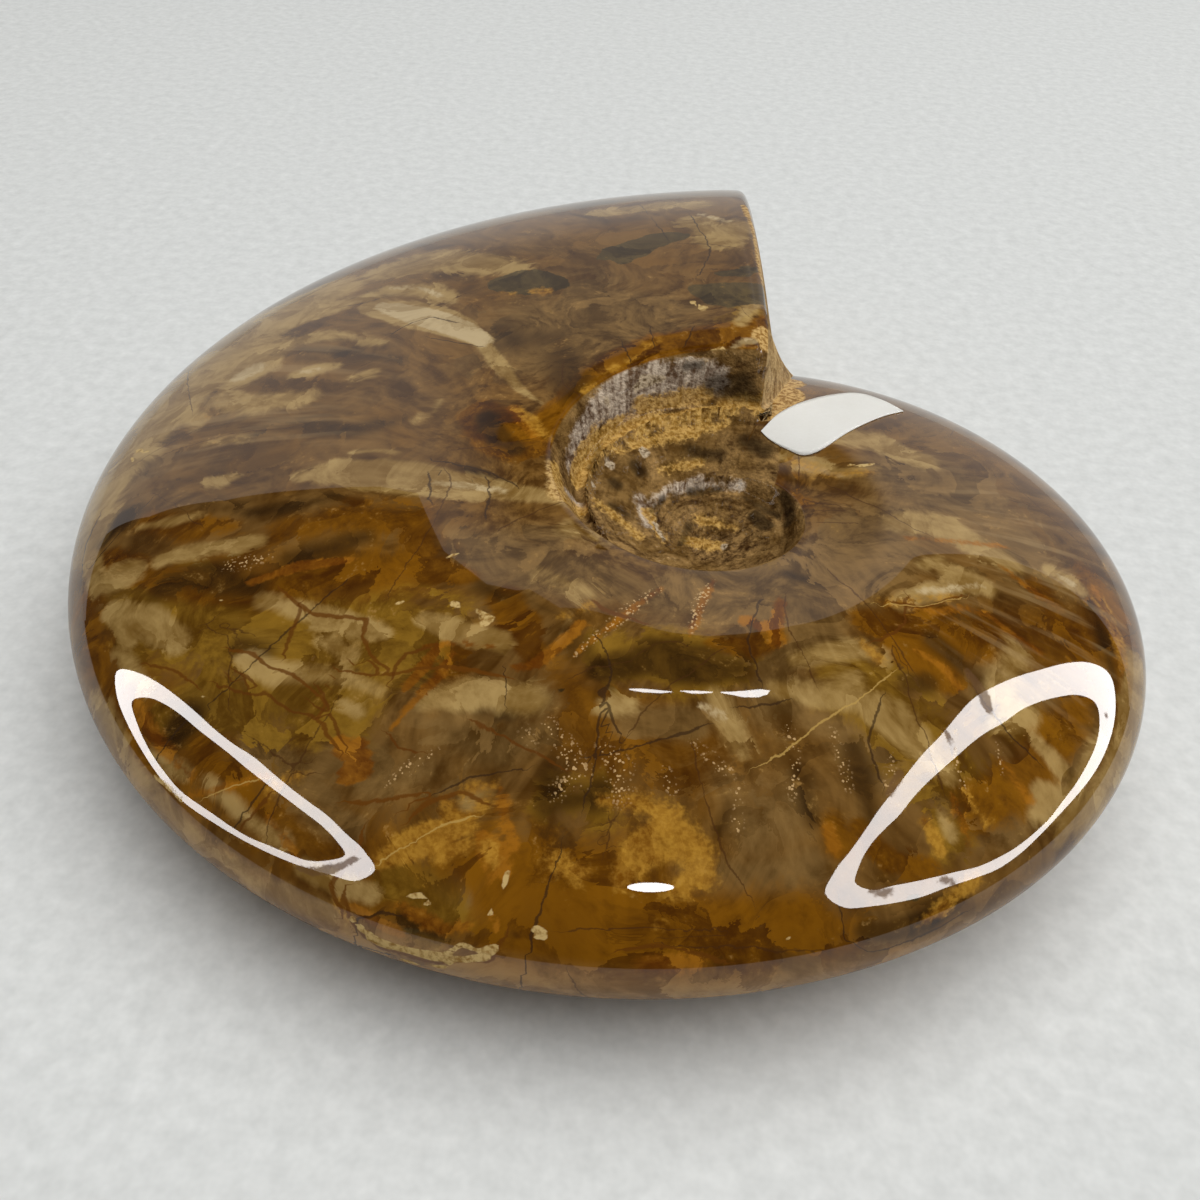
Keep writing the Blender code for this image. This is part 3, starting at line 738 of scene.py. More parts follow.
         (-28, -57, 25, 1.3), (-22, -57, 26, 1.2), (-17, -59, 26, 0.7)),
        (1.1, (-20.7, -60.3, 25.6, 0.7), (-18.6, -61.4, 25.5, 0.6)), (1.7, (-12, -60, 27, 1.2),
         (-7, -59, 28, 1.9), (-1, -59, 28, 1.8)), (1.5, (26, -51, 29, 1), (30, -49, 29, 1.7),
         (33, -48, 29, 1.6), (35, -49, 29, 0.9)), (1.5, (32, -52, 28, 1.2), (29, -54, 28, 1.1),
         (26, -54, 29, 0.7)), (1.2, (37.7, -40.6, 29.5, 1), (41.4, -37.8, 29.4, 1.4),
         (45.6, -35.8, 29, 1.1), (48.7, -34, 28.6, 0.5)), (1.2, (41.1, -33.4, 29.7, 0.8),
         (42.8, -31.7, 29.6, 0.8)), (1.1, (57.1, -29, 27.1, 1.1), (59, -29.5, 26.4, 1.5),
         (60.2, -30.3, 26, 1)), (1.7, (37, -55, 27, 1), (39, -57, 26, 1.1), (41, -60, 25, 0.8)),
        (1.7, (18, -57, 28, 0.9), (19, -59, 28, 1), (21, -63, 27, 0.8)), (1.6, (7, -59, 28, 0.7),
         (9, -59, 28, 0.6)), (1.8, (48, -54, 25, 1.3), (51, -52, 25, 1.4)), (1, (41, -64.9, 23.4, 0.6),
         (42, -66.7, 22.2, 0.6)), (2.1, (0, -35, 32, 1.2), (4, -37, 32, 1)), (2.1, (11, 45, 35, 3.6),
         (15, 36, 36, 3.8), (17, 44, 36, 2.8)), (2.5, (-6, 52, 33, 2.7), (2, 55, 33, 2.7),
         (10, 56, 34, 2.3)), (1.1, (18.3, 7.9, 37.3, 1.3), (19.6, 13, 37.5, 1.4)),
        (1.2, (27.2, -12.1, 28.9, 0.8), (29.7, -14, 29.2, 1), (32.7, -16, 29.7, 0.9),
         (37.1, -14.5, 30.2, 0.4)), (1.7, (-50, -51, 20, 0.9), (-44, -57, 21, 0.8)),
        (1.3, (2, -46, 30, 0.4), (1, -52, 29, 0.4)), (0.9, (-5.4, -70.1, 24, 0.8),
         (-3.6, -69.1, 24.6, 0.6)), (2.3, (48, -50, 26, 1.4), (51, -44, 27, 1.2)),
        (1.8, (-45, 7, 29, 1.4), (-39, 7, 31, 1.3), (-32, 3, 32, 0.6)), (1.9, (-47, 18, 29, 2),
         (-42, 19, 30, 1.6)), (1.1, (-60.7, -35.2, 19.9, 1.7), (-57.3, -40.9, 20.2, 1.3)),
        (1.3, (-20.3, -11.9, 33, 0.5), (-22, -16.2, 32.5, 0.9)), (1.9, (-54, 14, 27, 2.8),
         (-48, 15, 29, 2.9), (-42, 18, 30, 2.5)), (2.2, (-54, 4, 27, 2.4), (-48, 6, 29, 2.3)),
        (1.8, (-59, -6, 25, 2.3), (-54, -13, 27, 1.7)), (1.6, (30, -7, 30, 2.1), (36, -8, 30, 2.6),
         (43, -11, 30, 2.2)), (1.7, (39, -26, 30, 2.1), (45, -26, 30, 2.5), (51, -30, 29, 1.8)),
        (1.1, (51.9, -59.5, 22.2, 0.8), (56.2, -58.7, 20.3, 0.9), (54.5, -62.6, 18.4, 0.8)),
        (3.1, (-63, -31, 20, 3.8), (-66, -19, 20, 7.3), (-63, -9, 23, 7.5), (-59, 3, 25, 7.9),
         (-54, 16, 26, 8.2), (-46, 25, 28, 6.1)), (1.8, (67, -39, 21, 2.9), (66, -43, 20, 3.7),
         (64, -51, 18, 4.5), (59, -59, 17, 3.1)), (2.4, (-38, 30, 30, 4.4), (-31, 32, 31, 4.9),
         (-23, 29, 33, 4.1), (-17, 26, 34, 2.4)), (1.3, (24, -55, 28, 1.2), (29, -55, 28, 1.4),
         (35, -55, 28, 1.5)), (1, (-8.8, -51.7, 29, 0.9), (-5.3, -52.9, 29, 0.9)),
        (1.2, (-54.4, -32.6, 23.7, 0.5), (-49.6, -32.5, 25.4, 1), (-45.7, -32.2, 26.6, 0.4)),
        (1.3, (4.9, -24.4, 25.5, 1.2), (9.9, -22.1, 23.1, 1.4), (15.1, -21.3, 22.4, 0.9)),
        (1.4, (44, -34, 29, 1.6), (48, -35, 29, 1.6)), (1.7, (-52, -55, 16, 1.7), (-47, -62, 15, 2.4),
         (-40, -68, 14, 2.1), (-33, -73, 14, 1.9), (-25, -77, 14, 1.6), (-18, -79, 15, 1.2)),
        (2.1, (-53, -7, 27, 2), (-46, -10, 29, 2.3), (-40, -10, 30, 1.7)), (1.6, (-2, -43, 31, 1.1),
         (3, -45, 31, 1.2)), (1, (-8.7, -52, 29, 1.1), (-4.7, -53.3, 29, 1)), (1.3, (32, -55, 28, 1),
         (37, -58, 27, 1.2), (42, -61, 25, 1.1)), (1.5, (52, -62, 21, 1.1), (56, -58, 21, 1.2),
         (60, -51, 22, 1.1)), (1.1, (-12.4, -60.2, 26.7, 0.7), (-7.2, -60.2, 27.2, 0.9)),
        (1.3, (-34, -67, 19, 0.9), (-29, -71, 19, 1.2), (-24, -74, 19, 1.1)),
        (1, (-21.1, -75.8, 17.8, 1), (-17.1, -77.3, 17.8, 1.1), (-13.7, -78, 18.1, 0.8)),
        (1.2, (-42, -63.3, 18, 0.8), (-36.8, -66.2, 18.8, 1)), (0.9, (-8.8, -51.4, 29.1, 1.1),
         (-5.4, -52.3, 29.1, 1.1)), (1, (51.7, -54.4, 24.3, 0.9), (54.7, -56.5, 22.3, 1.1)),
        (1.3, (24.6, -11.1, 28.5, 1.1), (29, -13.7, 29.1, 1.3)), (1, (-53.6, -45.1, 20.8, 1.3),
         (-49, -49.9, 21.2, 1.3)), (1.1, (-24.6, -52.7, 27, 0.9), (-21.3, -54.7, 27, 1)),
    ),
    "rust": (
        (0.2, (-19.9, -64.8, 24.2, 1), (-18.2, -65.7, 24.2, 1.6), (-17, -67.3, 23.7, 1.3),
         (-18.4, -68, 23.2, 1)), (0.4, (-10.1, -54.1, 28.4, 0.4), (-11, -57, 27.7, 0.6),
         (-12.8, -59.7, 26.8, 0.6), (-14.2, -61.7, 26, 0.4), (-14.8, -63.7, 25.4, 0.3)),
        (0.4, (-13.3, -53.6, 28.2, 0.3), (-11.2, -53, 28.5, 0.3), (-8.5, -53.1, 28.7, 0.4),
         (-6.1, -53.2, 28.9, 0.3)), (0.5, (-3.7, -55.7, 28.5, 0.3), (-1.2, -55.3, 28.7, 0.7),
         (1.1, -52.4, 29.4, 0.7), (2.9, -49.6, 29.9, 0.8)), (0.7, (-35.6, -68.4, 17.7, 0.3),
         (-32.7, -68.5, 19.1, 0.4), (-29.7, -68, 20.4, 0.3), (-26.7, -67.6, 21.5, 0.3)),
        (0.7, (-26, -71.5, 19.5, 0.3), (-23.9, -73.3, 18.9, 0.4), (-21.7, -75.3, 18.1, 0.3)),
        (0.6, (24.1, -45.8, 29.7, 0.3), (24.6, -48.5, 29.5, 0.4), (23.3, -50.1, 29.4, 0.3)),
        (0.8, (-10.8, -78.9, 18, 0.5), (-8.6, -79.8, 17.5, 0.8), (-6.1, -80.6, 17.2, 0.5),
         (-3.7, -80.2, 18, 0.4)), (0.7, (-3.6, -74.5, 22.1, 0.4), (-2.3, -76.5, 21.1, 0.5),
         (-2.6, -77.7, 20.3, 0.3)), (0.7, (38.3, -40.5, 29.5, 0.3), (41.7, -40.8, 29, 0.3),
         (45.2, -39.2, 28.7, 0.4), (48.1, -39.6, 28.2, 0.4), (50.4, -41.5, 27.5, 0.4),
         (53.5, -42.9, 26.5, 0.4)), (0.7, (50.4, -30.7, 28.5, 0.4), (53.1, -33, 27.8, 0.5),
         (57, -35.4, 26.5, 0.4)), (0.7, (39.4, -47.1, 28.5, 0.3), (42.2, -48.6, 27.8, 0.4),
         (43.7, -51, 27.1, 0.3)), (0.7, (29.7, -69, 23.8, 0.5), (30.5, -70.6, 22.9, 0.6)),
        (0.6, (39.1, -29, 30.1, 0.3), (43.4, -28.3, 29.7, 0.3), (47.7, -27.5, 29.2, 0.3),
         (52.1, -26.8, 28.4, 0.3)), (0.9, (-10.5, -13.6, 33.8, 0.9), (-8.3, -16.9, 33.6, 1),
         (-6.2, -19.6, 33.5, 0.8)), (1.2, (62.6, -29.2, 25.1, 0.5), (64.1, -34, 23.9, 0.5),
         (64.2, -40.1, 22.8, 0.5)), (1.2, (-46.8, -56.2, 19.6, 0.5), (-40.8, -63, 18.9, 0.5),
         (-36.1, -66.6, 18.8, 0.4)), (1.2, (13, -82, 17, 0.6), (18, -81, 17, 0.9)),
        (0.8, (-2.6, -69, 24.7, 0.5), (-1.6, -71.8, 23.6, 0.5), (-0.2, -74.4, 22.5, 0.6)),
        (0.8, (13.4, -2.1, 32.2, 0.4), (19.2, -0.8, 34.5, 0.6)), (0.9, (47.6, -57.9, 24.4, 0.3),
         (50.7, -60.9, 22, 0.4)), (0.8, (42.5, -63.3, 23.7, 0.4), (44.1, -67.4, 21.1, 0.4)),
        (0.4, (11.4, -42.5, 30.4, 0.3), (9, -45.5, 30.3, 0.3), (6.1, -49.4, 29.9, 0.4),
         (2.9, -53.4, 29.2, 0.3)), (0.5, (16.9, -40.1, 30.1, 0.3), (15.8, -44, 30, 0.3),
         (14.8, -49.2, 29.8, 0.3)), (0.4, (-3.8, -73.3, 22.8, 0.6), (-1.7, -74.5, 22.3, 0.9),
         (-0.9, -76.5, 21.2, 0.7)), (0.4, (20.5, -46.1, 29.8, 0.7), (23.8, -47.1, 29.7, 0.9),
         (24.6, -42.1, 29.7, 0.5)), (0.3, (-15.7, -78.7, 16.7, 0.4), (-13.5, -79.7, 16.1, 0.6),
         (-10.5, -80.5, 15.9, 0.6)), (0.3, (-0.9, -80.5, 18.1, 0.4), (-1.6, -79.5, 19, 0.4)),
        (0.4, (-35.9, -44.3, 26.7, 0.5), (-30.5, -42.2, 28.2, 0.8), (-24.7, -41.5, 29.2, 0.5)),
        (0.3, (-11.6, -52.9, 28.5, 0.4), (-12.8, -55.8, 27.8, 0.7), (-14.4, -58.9, 26.8, 0.4)),
    ),
    "gold": (
        (0.5, (-13.5, -75.7, 20, 0.8), (-11, -74.6, 21.2, 1.5), (-8.3, -73.4, 22.2, 1.7),
         (-5.2, -72.3, 23.1, 1.1)), (0.6, (-7.5, -75.1, 21.4, 0.8), (-5.2, -74.2, 22.2, 0.8)),
        (0.9, (10.3, -76, 21.9, 1), (11.7, -73.4, 23.2, 2), (14.2, -71.5, 24, 2.2),
         (17, -72.7, 23.3, 1.8), (17.8, -74.8, 22.2, 1.2), (15.4, -76.5, 21.4, 1)),
        (1, (11.3, -69.6, 24.9, 0.5), (13.7, -68.6, 25.2, 0.4)), (0.7, (-2.7, -74.3, 22.3, 0.9),
         (-2.1, -75.5, 21.7, 0.8)), (0.9, (-5.5, -69.2, 24.4, 0.7), (-3.1, -68.6, 24.8, 0.5),
         (-4.3, -70.6, 23.9, 0.5)), (1.4, (4, -75, 22, 0.9), (6, -76, 22, 0.8)),
        (0.6, (18.9, 0.5, 36.8, 1), (20.5, 0.7, 37.1, 1)), (0.6, (5.4, 1.2, 36.1, 0.6),
         (7.1, 2.2, 36.3, 0.6)), (0.5, (3.4, -2.6, 35.7, 0.4), (5.6, -1.6, 36, 0.5)),
        (0.5, (0.7, -5.7, 35.3, 0.4), (2.2, -4, 35.5, 0.5)), (0.5, (-1.5, -9.8, 34.7, 0.4),
         (-0.7, -8, 35, 0.4)), (0.6, (11.4, 2, 36.6, 0.4), (13, 2.9, 36.8, 0.4)),
        (0.7, (-10.6, -12.7, 33.8, 0.4), (-8.1, -15.6, 33.8, 0.9), (-5.9, -18.4, 33.6, 0.8),
         (-4.1, -19.9, 33.3, 0.5)), (0.6, (39.4, -66, 23.3, 0.6), (41, -68.3, 21.7, 0.7)),
        (0.7, (39.8, -73.7, 17.6, 0.4), (41.3, -72.7, 17.8, 0.7), (42.3, -72, 18.1, 0.4)),
        (0.7, (13.8, -79.1, 19.6, 0.4), (14.8, -79, 19.6, 0.4)), (1.2, (25.9, -12.2, 28.6, 0.4),
         (30.9, -16.1, 29.2, 0.5), (35.8, -15.8, 30.2, 0.4)), (0.5, (-16.5, 17, 34.3, 0.5),
         (-14.6, 16.5, 34.5, 0.5)), (0.5, (-12.6, 17.1, 34.8, 0.6), (-10.7, 17.3, 35, 1.3),
         (-9.7, 17.3, 35.1, 0.5)), (0.8, (-17, -78.5, 16.3, 0.4), (-15.8, -79.4, 15.3, 0.3)),
        (0.9, (0.6, -48.8, 30, 0.3), (3.6, -46.8, 30.3, 0.3)), (0.7, (-7.9, -70.2, 23.7, 0.5),
         (-6.6, -71.6, 23.3, 0.4)), (1, (-26.4, -69.1, 20.9, 0.4), (-23.4, -67.8, 22.3, 0.3)),
        (0.7, (36, -41, 29.7, 0.3), (39.5, -39.5, 29.4, 0.3), (44.2, -37.8, 29, 0.3)),
        (0.6, (63.5, -30.4, 24.6, 0.3), (65, -35.7, 23.1, 0.3), (64.9, -42.4, 21.6, 0.3)),
        (1, (43.6, -62.6, 23.7, 0.3), (45.7, -64.3, 22.3, 0.4)), (0.8, (7.4, -69.2, 25, 0.6),
         (11.3, -69.4, 24.9, 0.8), (15.2, -69.5, 24.8, 0.6)), (0.8, (41.3, -72.3, 18.4, 0.6),
         (44.8, -69.5, 19.2, 0.7)), (0.8, (62.2, -31.2, 25.1, 0.4), (63.8, -35, 24, 0.5),
         (64.3, -39.7, 22.8, 0.5)), (0.7, (33, -46.9, 29.2, 0.4), (35.1, -49.2, 28.7, 0.7)),
    ),
    "spot": (
        (0.5, (-17.4, 20.2, 34.2, 2.5), (-13.9, 21.3, 34.6, 3.8), (-10.3, 19.7, 35, 2.9)),
        (0.5, (-15.5, 18, 34.4, 1.3), (-13, 17.8, 34.7, 1.8)), (0.5, (-3, 29.3, 35.5, 1.5),
         (-1.3, 31.3, 35.5, 2.7), (1.9, 33.7, 35.7, 2.8), (5.2, 37.2, 35.7, 2.6),
         (8, 38.1, 35.9, 1.6)), (0.5, (-0.4, 28, 35.8, 1.4), (2.1, 31.2, 35.8, 1.8)),
        (0.6, (12.5, 17.5, 37, 2.2), (15.7, 16, 37.2, 3.7), (20.1, 16.6, 37.5, 3.5)),
        (0.6, (14.4, 23, 37.1, 0.5), (18.4, 24.2, 37.3, 1.4), (20.8, 25.8, 36.9, 0.6)),
        (0.3, (-10.3, -80.5, 16.1, 0.3), (-8.9, -80.6, 16.5, 0.3)), (0.3, (38.1, -72.8, 19.6, 0.3),
         (39, -72.4, 19.4, 0.3)), (0.3, (1.5, -58.2, 28.1, 0.3), (2, -58.2, 28.2, 0.3)),
    ),
    "chip": (
        (0.2, (-11.4, -47.6, 29.6, 0.3), (-10.1, -48, 29.6, 0.4), (-8.5, -48.9, 29.6, 0.5),
         (-7.1, -49.9, 29.5, 0.7)), (0.3, (11.2, 13.3, 36.9, 0.5), (12.6, 12.4, 37, 1)),
        (0.3, (14.5, 0.3, 36.5, 0.5), (15.8, 0.5, 36.7, 0.6)), (0.2, (2.6, -80.4, 18.6, 0.6),
         (3.2, -80.6, 18.3, 0.7)), (0.2, (-13.1, -35.4, 31.3, 0.3), (-12.3, -36.1, 31.2, 0.3)),
        (0.2, (-13, -40.7, 30.5, 0.3), (-12.5, -40.3, 30.7, 0.3)), (0.2, (-39.3, -46.4, 25.5, 0.3),
         (-38.6, -46.2, 25.7, 0.3)), (0.2, (-45.3, -53.5, 21.5, 0.3)),
        (0.2, (-50.1, -51.1, 20.3, 0.3)), (0.2, (-36.7, -58.7, 22.5, 0.3), (-35.7, -59.2, 22.7, 0.3)),
        (0.2, (-6.2, -81.9, 14.6, 0.3), (-4.9, -81.6, 15.9, 0.3), (-4.3, -81.4, 16.4, 0.3),
         (-2.5, -81.8, 16.2, 0.3), (-1.4, -81.5, 16.8, 0.3)), (0.2, (-10.7, -81, 11.9, 0.3),
         (-8.1, -81.7, 12.6, 0.3), (-5.9, -82.1, 13.3, 0.3), (-5.2, -82, 14.9, 0.3)),
        (0.2, (-14.7, -79.9, 14.9, 0.3), (-13.7, -80.5, 13.9, 0.3), (-12.1, -80.9, 13.6, 0.3),
         (-11, -81, 14.4, 0.3)), (0.2, (-10.1, -78.4, 18.6, 0.3), (-8.9, -78.1, 19.1, 0.3),
         (-7.8, -78.9, 18.6, 0.3)), (0.1, (-1.6, -79.5, 19, 0.3), (-1.2, -77.7, 20.4, 0.3),
         (-0.3, -76, 21.6, 0.3)), (0.2, (-61.8, -17.7, 22.8, 0.3), (-62.7, -16, 22.6, 0.3),
         (-62, -15.1, 23, 0.3), (-60.2, -16.4, 23.8, 0.3)), (0.1, (26.3, -78.2, 18.4, 0.3)),
        (0.1, (9.7, -82.2, 16.3, 0.3)), (0.2, (33.4, -14.3, 30, 0.3), (35.2, -14.5, 30.2, 0.3),
         (36.5, -13.9, 30.2, 0.3)), (0.2, (-40.7, -65.6, 16.8, 0.3), (-38.4, -67.1, 17, 0.3),
         (-36.5, -68.6, 16.9, 0.3)), (0.1, (-18, -47.8, 28.9, 0.3), (-17.5, -47.9, 28.9, 0.3)),
        (0.2, (-15.6, -79.4, 15.6, 0.3), (-14.5, -80, 14.8, 0.4), (-12.6, -80.7, 14, 0.6),
         (-10, -81.3, 14.2, 0.4), (-7.2, -81.8, 14.4, 0.7), (-4.2, -82.1, 14.9, 0.4),
         (-1.7, -82.1, 15.8, 0.5), (-0.9, -81.5, 16.9, 0.3)),
    ),
    # Gold grains, with their glint painted in as bright specks.
    "sparkle": (
        (0.6, (11.4, -42.5, 30.4, 0.3), (9.5, -44.6, 30.4, 0.7), (7, -48, 30.1, 0.8),
         (4.7, -51.1, 29.7, 0.6), (2.8, -53.7, 29.2, 0.3)), (0.6, (16.8, -40.1, 30.1, 0.3),
         (15.5, -44.4, 30, 0.7), (14.7, -49.3, 29.8, 0.3)), (0.6, (-14, -68.7, 23.6, 0.3),
         (-11.9, -66.9, 24.6, 0.7), (-9.3, -65.3, 25.4, 0.4)), (1.2, (1, -62, 27, 0.6),
         (3, -64, 27, 1.1), (5, -67, 26, 1.3), (3, -69, 25, 0.8)), (1.2, (-1, -63, 27, 0.7),
         (0, -64, 26, 0.6)), (1.2, (7, -64, 27, 0.9), (9, -66, 26, 1.1), (9, -69, 25, 0.8)),
        (0.8, (16.1, -62.1, 27.2, 0.4), (17.9, -64, 26.6, 0.6), (19.6, -65, 26.2, 0.4)),
        (0.6, (20.6, -65.9, 25.9, 0.3), (20.9, -70.4, 24.1, 0.4)), (0.6, (25.6, -59, 27.5, 0.4),
         (26.2, -62.7, 26.5, 0.6), (26.1, -66.3, 25.3, 0.4)), (0.6, (29.9, -58.8, 27.2, 0.4),
         (31, -61.9, 26.2, 0.6), (31.6, -64.8, 25.2, 0.4)), (0.6, (36.2, -60.3, 26, 0.4),
         (35.6, -64, 24.9, 0.4)), (0.5, (42.7, -58.7, 25.3, 0.3), (43.3, -61.7, 24.1, 0.4)),
        (0.5, (47.5, -56.3, 24.9, 0.3), (47.6, -59.4, 23.8, 0.3)), (0.9, (-39.5, -41.4, 26.5, 0.8),
         (-36.9, -41.1, 27.1, 1.1), (-34.4, -40.4, 27.8, 0.4)), (0.8, (13.4, -65.6, 26.2, 0.5),
         (14.3, -67.5, 25.6, 0.5)),
    ),
    "tan": (
        (0.6, (22.4, 4.5, 36, 3), (23.6, 4.7, 32.4, 4.9), (24.3, 4.1, 29, 3.9),
         (22.2, -2.7, 30.3, 2.2)), (0.7, (26, 9.5, 27.6, 2.5)), (0.6, (-1.3, -19.9, 28.2, 1.7),
         (-0.6, -15.4, 28.8, 1.9), (0.9, -12, 29.3, 1.6), (3.8, -8.4, 29.4, 1.3),
         (7.7, -6.8, 29.5, 1.5), (12.4, -5.2, 29.8, 1.2), (16.6, -4, 30.6, 1.4),
         (20.2, -2.4, 31.2, 1)), (0.9, (2.4, -13.5, 28.6, 0.9), (6.7, -9.8, 27.9, 1.1),
         (12.6, -7.2, 28.3, 1.1), (17.2, -5.6, 28.9, 0.5)), (0.5, (17.8, 55.9, 34.4, 0.5),
         (20, 37.9, 36.2, 0.6), (20.8, 25.8, 36.9, 0.6), (21.9, 14.2, 36.3, 0.5),
         (23.5, 11.2, 32.4, 0.6)), (0.9, (1.6, -22.1, 26.6, 0.5), (4.9, -24.4, 25.5, 0.8),
         (7.6, -26, 24.2, 0.9)), (1.1, (9.1, -13.7, 26.3, 0.4), (14.3, -11.5, 26.6, 0.5)),
        (1, (15, -19.4, 22.9, 0.5), (19.5, -20.8, 23.2, 0.5)), (0.9, (-3.3, -24.4, 32.2, 1.4),
         (-1.9, -29.1, 32, 1.8), (-0.3, -25.9, 27.3, 1.2)), (0.7, (5.5, -5.9, 31.2, 1),
         (9.5, -3.9, 31, 1.3), (14.1, -2.4, 31.3, 1.1)), (0.6, (8.2, -20.6, 24.3, 0.9),
         (10.3, -24.4, 23.3, 0.9)), (0.8, (13.9, -23.4, 22.2, 1.1), (17.3, -23.6, 22.2, 1)),
    ),
    "nacre": (
        (0.9, (-2.1, -19.7, 29.8, 1.3), (-1.5, -14.9, 30.9, 1.6), (0.3, -10.4, 32.2, 1.9),
         (3.6, -6.5, 32.8, 3.3), (7.3, -4, 32.8, 3.6), (11.9, -2.1, 33, 3.1), (15.1, -1.3, 33.5, 1.8)),
        (0.8, (8.3, -19.6, 24.7, 0.4), (10.4, -16.5, 25.2, 0.5), (14.5, -14.6, 25.4, 0.7),
         (19.7, -15, 25.7, 0.5)), (0.7, (-2.2, -28.2, 32, 1.6), (-0.8, -25, 27.6, 1.2)),
        (0.8, (7, -19.3, 25.2, 0.8), (8.9, -22.9, 24.1, 1.3)),
    ),
    "pebble": (
        (0.4, (2.6, -15, 27.3, 0.7)), (0.3, (6.8, -11.7, 27.5, 0.8)), (0.3, (0.8, -19.9, 27.5, 0.5)),
        (0.4, (5.8, -4.3, 33.9, 0.8), (7.1, -3.6, 33.8, 0.7)), (0.4, (1.5, -8.7, 32.6, 0.5)),
        (0.4, (18.3, -23.8, 22.3, 0.5)), (0.5, (9.3, -22.1, 23.5, 0.5), (10.6, -24.6, 23.2, 0.4)),
        (0.4, (4.8, -5.2, 33.5, 0.5), (6.6, -3.9, 33.9, 0.7), (8.4, -3, 33.7, 0.4)),
        (0.3, (0.7, -9.1, 33.3, 0.3), (1.6, -8, 33.4, 0.3)), (0.3, (11.1, -2, 33.8, 0.4)),
    ),
    "shade": (
        (0.5, (21.7, -20, 24.8, 0.9), (23.3, -22.1, 24.9, 1)), (0.8, (6.6, -14.6, 26.3, 1.1),
         (5.7, -13.9, 27, 0.8)), (0.8, (3.6, -18, 26.4, 1.1)), (0.6, (11.2, -1.4, 34.9, 0.6),
         (13.1, -1, 34.9, 0.6)), (1.4, (14.9, -1.7, 32.7, 1.1), (19, -1.5, 32.7, 1.7),
         (21.2, -2.3, 31.6, 0.8)), (0.6, (8.4, -20.4, 24.2, 0.3), (10, -17.7, 24.7, 0.4)),
        (0.7, (13.3, -15.8, 24.6, 0.5), (17.2, -14.8, 24.8, 0.5)), (0.7, (20.5, -16.5, 24.9, 0.4),
         (24.7, -20.5, 25.5, 0.4)), (1, (0.2, -17.4, 28.2, 0.3), (1, -13, 28.4, 0.4)),
        (1.2, (20, -8.3, 28.5, 1.2), (22.7, -10.1, 28.4, 1.3)), (1.2, (12.8, -10, 27.3, 0.9),
         (16.8, -10.4, 27.2, 0.9)), (0.8, (12.7, -24.5, 22.5, 0.4), (13.7, -20.4, 22.7, 0.4)),
        (0.9, (25.4, -18.6, 27.5, 0.9), (26.1, -22.5, 26.5, 1)), (0.9, (3.4, -22.3, 26.2, 0.4),
         (6, -22.7, 25.2, 0.4)),
    ),
    "golden": (
        (7.5, (-52, -49, 20, 5.4), (-35, -65, 20, 6.6), (-19, -75, 20, 5.5), (-6, -79, 19, 6.1),
         (8, -78, 21, 6.8), (20, -77, 21, 4.9), (28, -77, 19, 3.1)), (7.3, (-41, -46, 25, 7.9),
         (-25, -47, 28, 7), (-16, -41, 30, 5.7)), (5.2, (2, -58, 28, 4.6), (9, -63, 27, 5.4),
         (17, -65, 26, 4.2)), (4.5, (33, -42, 30, 4.3), (43, -45, 28, 4.2), (59, -39, 25, 5.1)),
    ),
    "ribs": (
        (6.6, (31, -15, 29, 5), (43, -20, 30, 9.5), (53, -27, 28, 9.3), (59, -36, 26, 7.1)),
        (4.8, (36, -33, 30, 4.8), (45, -40, 29, 4.5), (55, -47, 25, 3)), (7.3, (-56, -13, 26, 10),
         (-41, -8, 30, 13.5), (-25, -16, 32, 9.4)),
    ),
    "dull": (
        (0.3, (45, -48.6, 27.4, 0.5), (46.3, -50.7, 26.6, 0.8), (46.8, -52.8, 26.1, 0.4)),
        (0.3, (41.8, -56.3, 26.2, 0.3), (42.3, -57.5, 25.7, 0.4)), (0.3, (35.7, -64.5, 24.7, 0.3),
         (36.9, -61.9, 25.4, 0.4)), (0.4, (60.9, -47.8, 22.5, 0.4)), (0.3, (-21.8, -75.7, 17.6, 0.3),
         (-19.9, -76.2, 17.8, 0.4), (-17.6, -76, 18.8, 0.4), (-15.5, -75.3, 19.9, 0.3)),
        (0.3, (-36.5, -68.5, 17, 0.3)), (0.4, (34, -73.2, 20.6, 0.3), (36, -72.9, 20.2, 0.3)),
        (0.4, (41.1, -70.6, 20.1, 0.3), (42.7, -70.5, 19.5, 0.3)),
    ),
    "bright": (
        (0.4, (-34.6, 14.9, 31.6, 1.4), (-29.3, 11.6, 32.6, 2.3), (-24.4, 8.5, 33.3, 2.4),
         (-20.3, 5.6, 33.8, 2.1), (-17.1, 2.3, 34.1, 1.3)), (0.8, (-51.8, -1.4, 27.6, 1.3),
         (-49.9, 0.2, 28.2, 1.6)), (0.6, (-35.2, 21.8, 31.2, 0.5), (-30.5, 20.7, 32.2, 0.6),
         (-25.8, 16.7, 33, 0.3)), (0.6, (-18, -28.6, 31.7, 0.4), (-13, -29, 32, 0.5),
         (-8.7, -29.7, 32.2, 0.4)), (0.5, (40.2, -38.1, 29.5, 0.3), (43.8, -36.7, 29.2, 0.4),
         (47.4, -34.9, 28.8, 0.3)), (0.5, (58, -29.3, 26.8, 0.4), (59.5, -30, 26.3, 0.5)),
        (0.4, (17.5, 1.6, 37.1, 0.6), (19.8, 2.5, 37.3, 1)), (0.7, (10.7, 49.5, 34.9, 0.5),
         (15.7, 45.2, 35.8, 0.7)), (0.7, (-42.3, -2.9, 30, 0.4), (-39.1, -2.7, 30.6, 0.4)),
        (0.6, (16.3, -58.1, 28.2, 0.3), (18.6, -59, 27.9, 0.4)), (0.5, (27.2, -13.5, 28.6, 0.4),
         (32.1, -16.3, 29.5, 0.4)), (0.7, (4.9, -5.3, 33.3, 0.5), (9, -3.1, 33, 0.7),
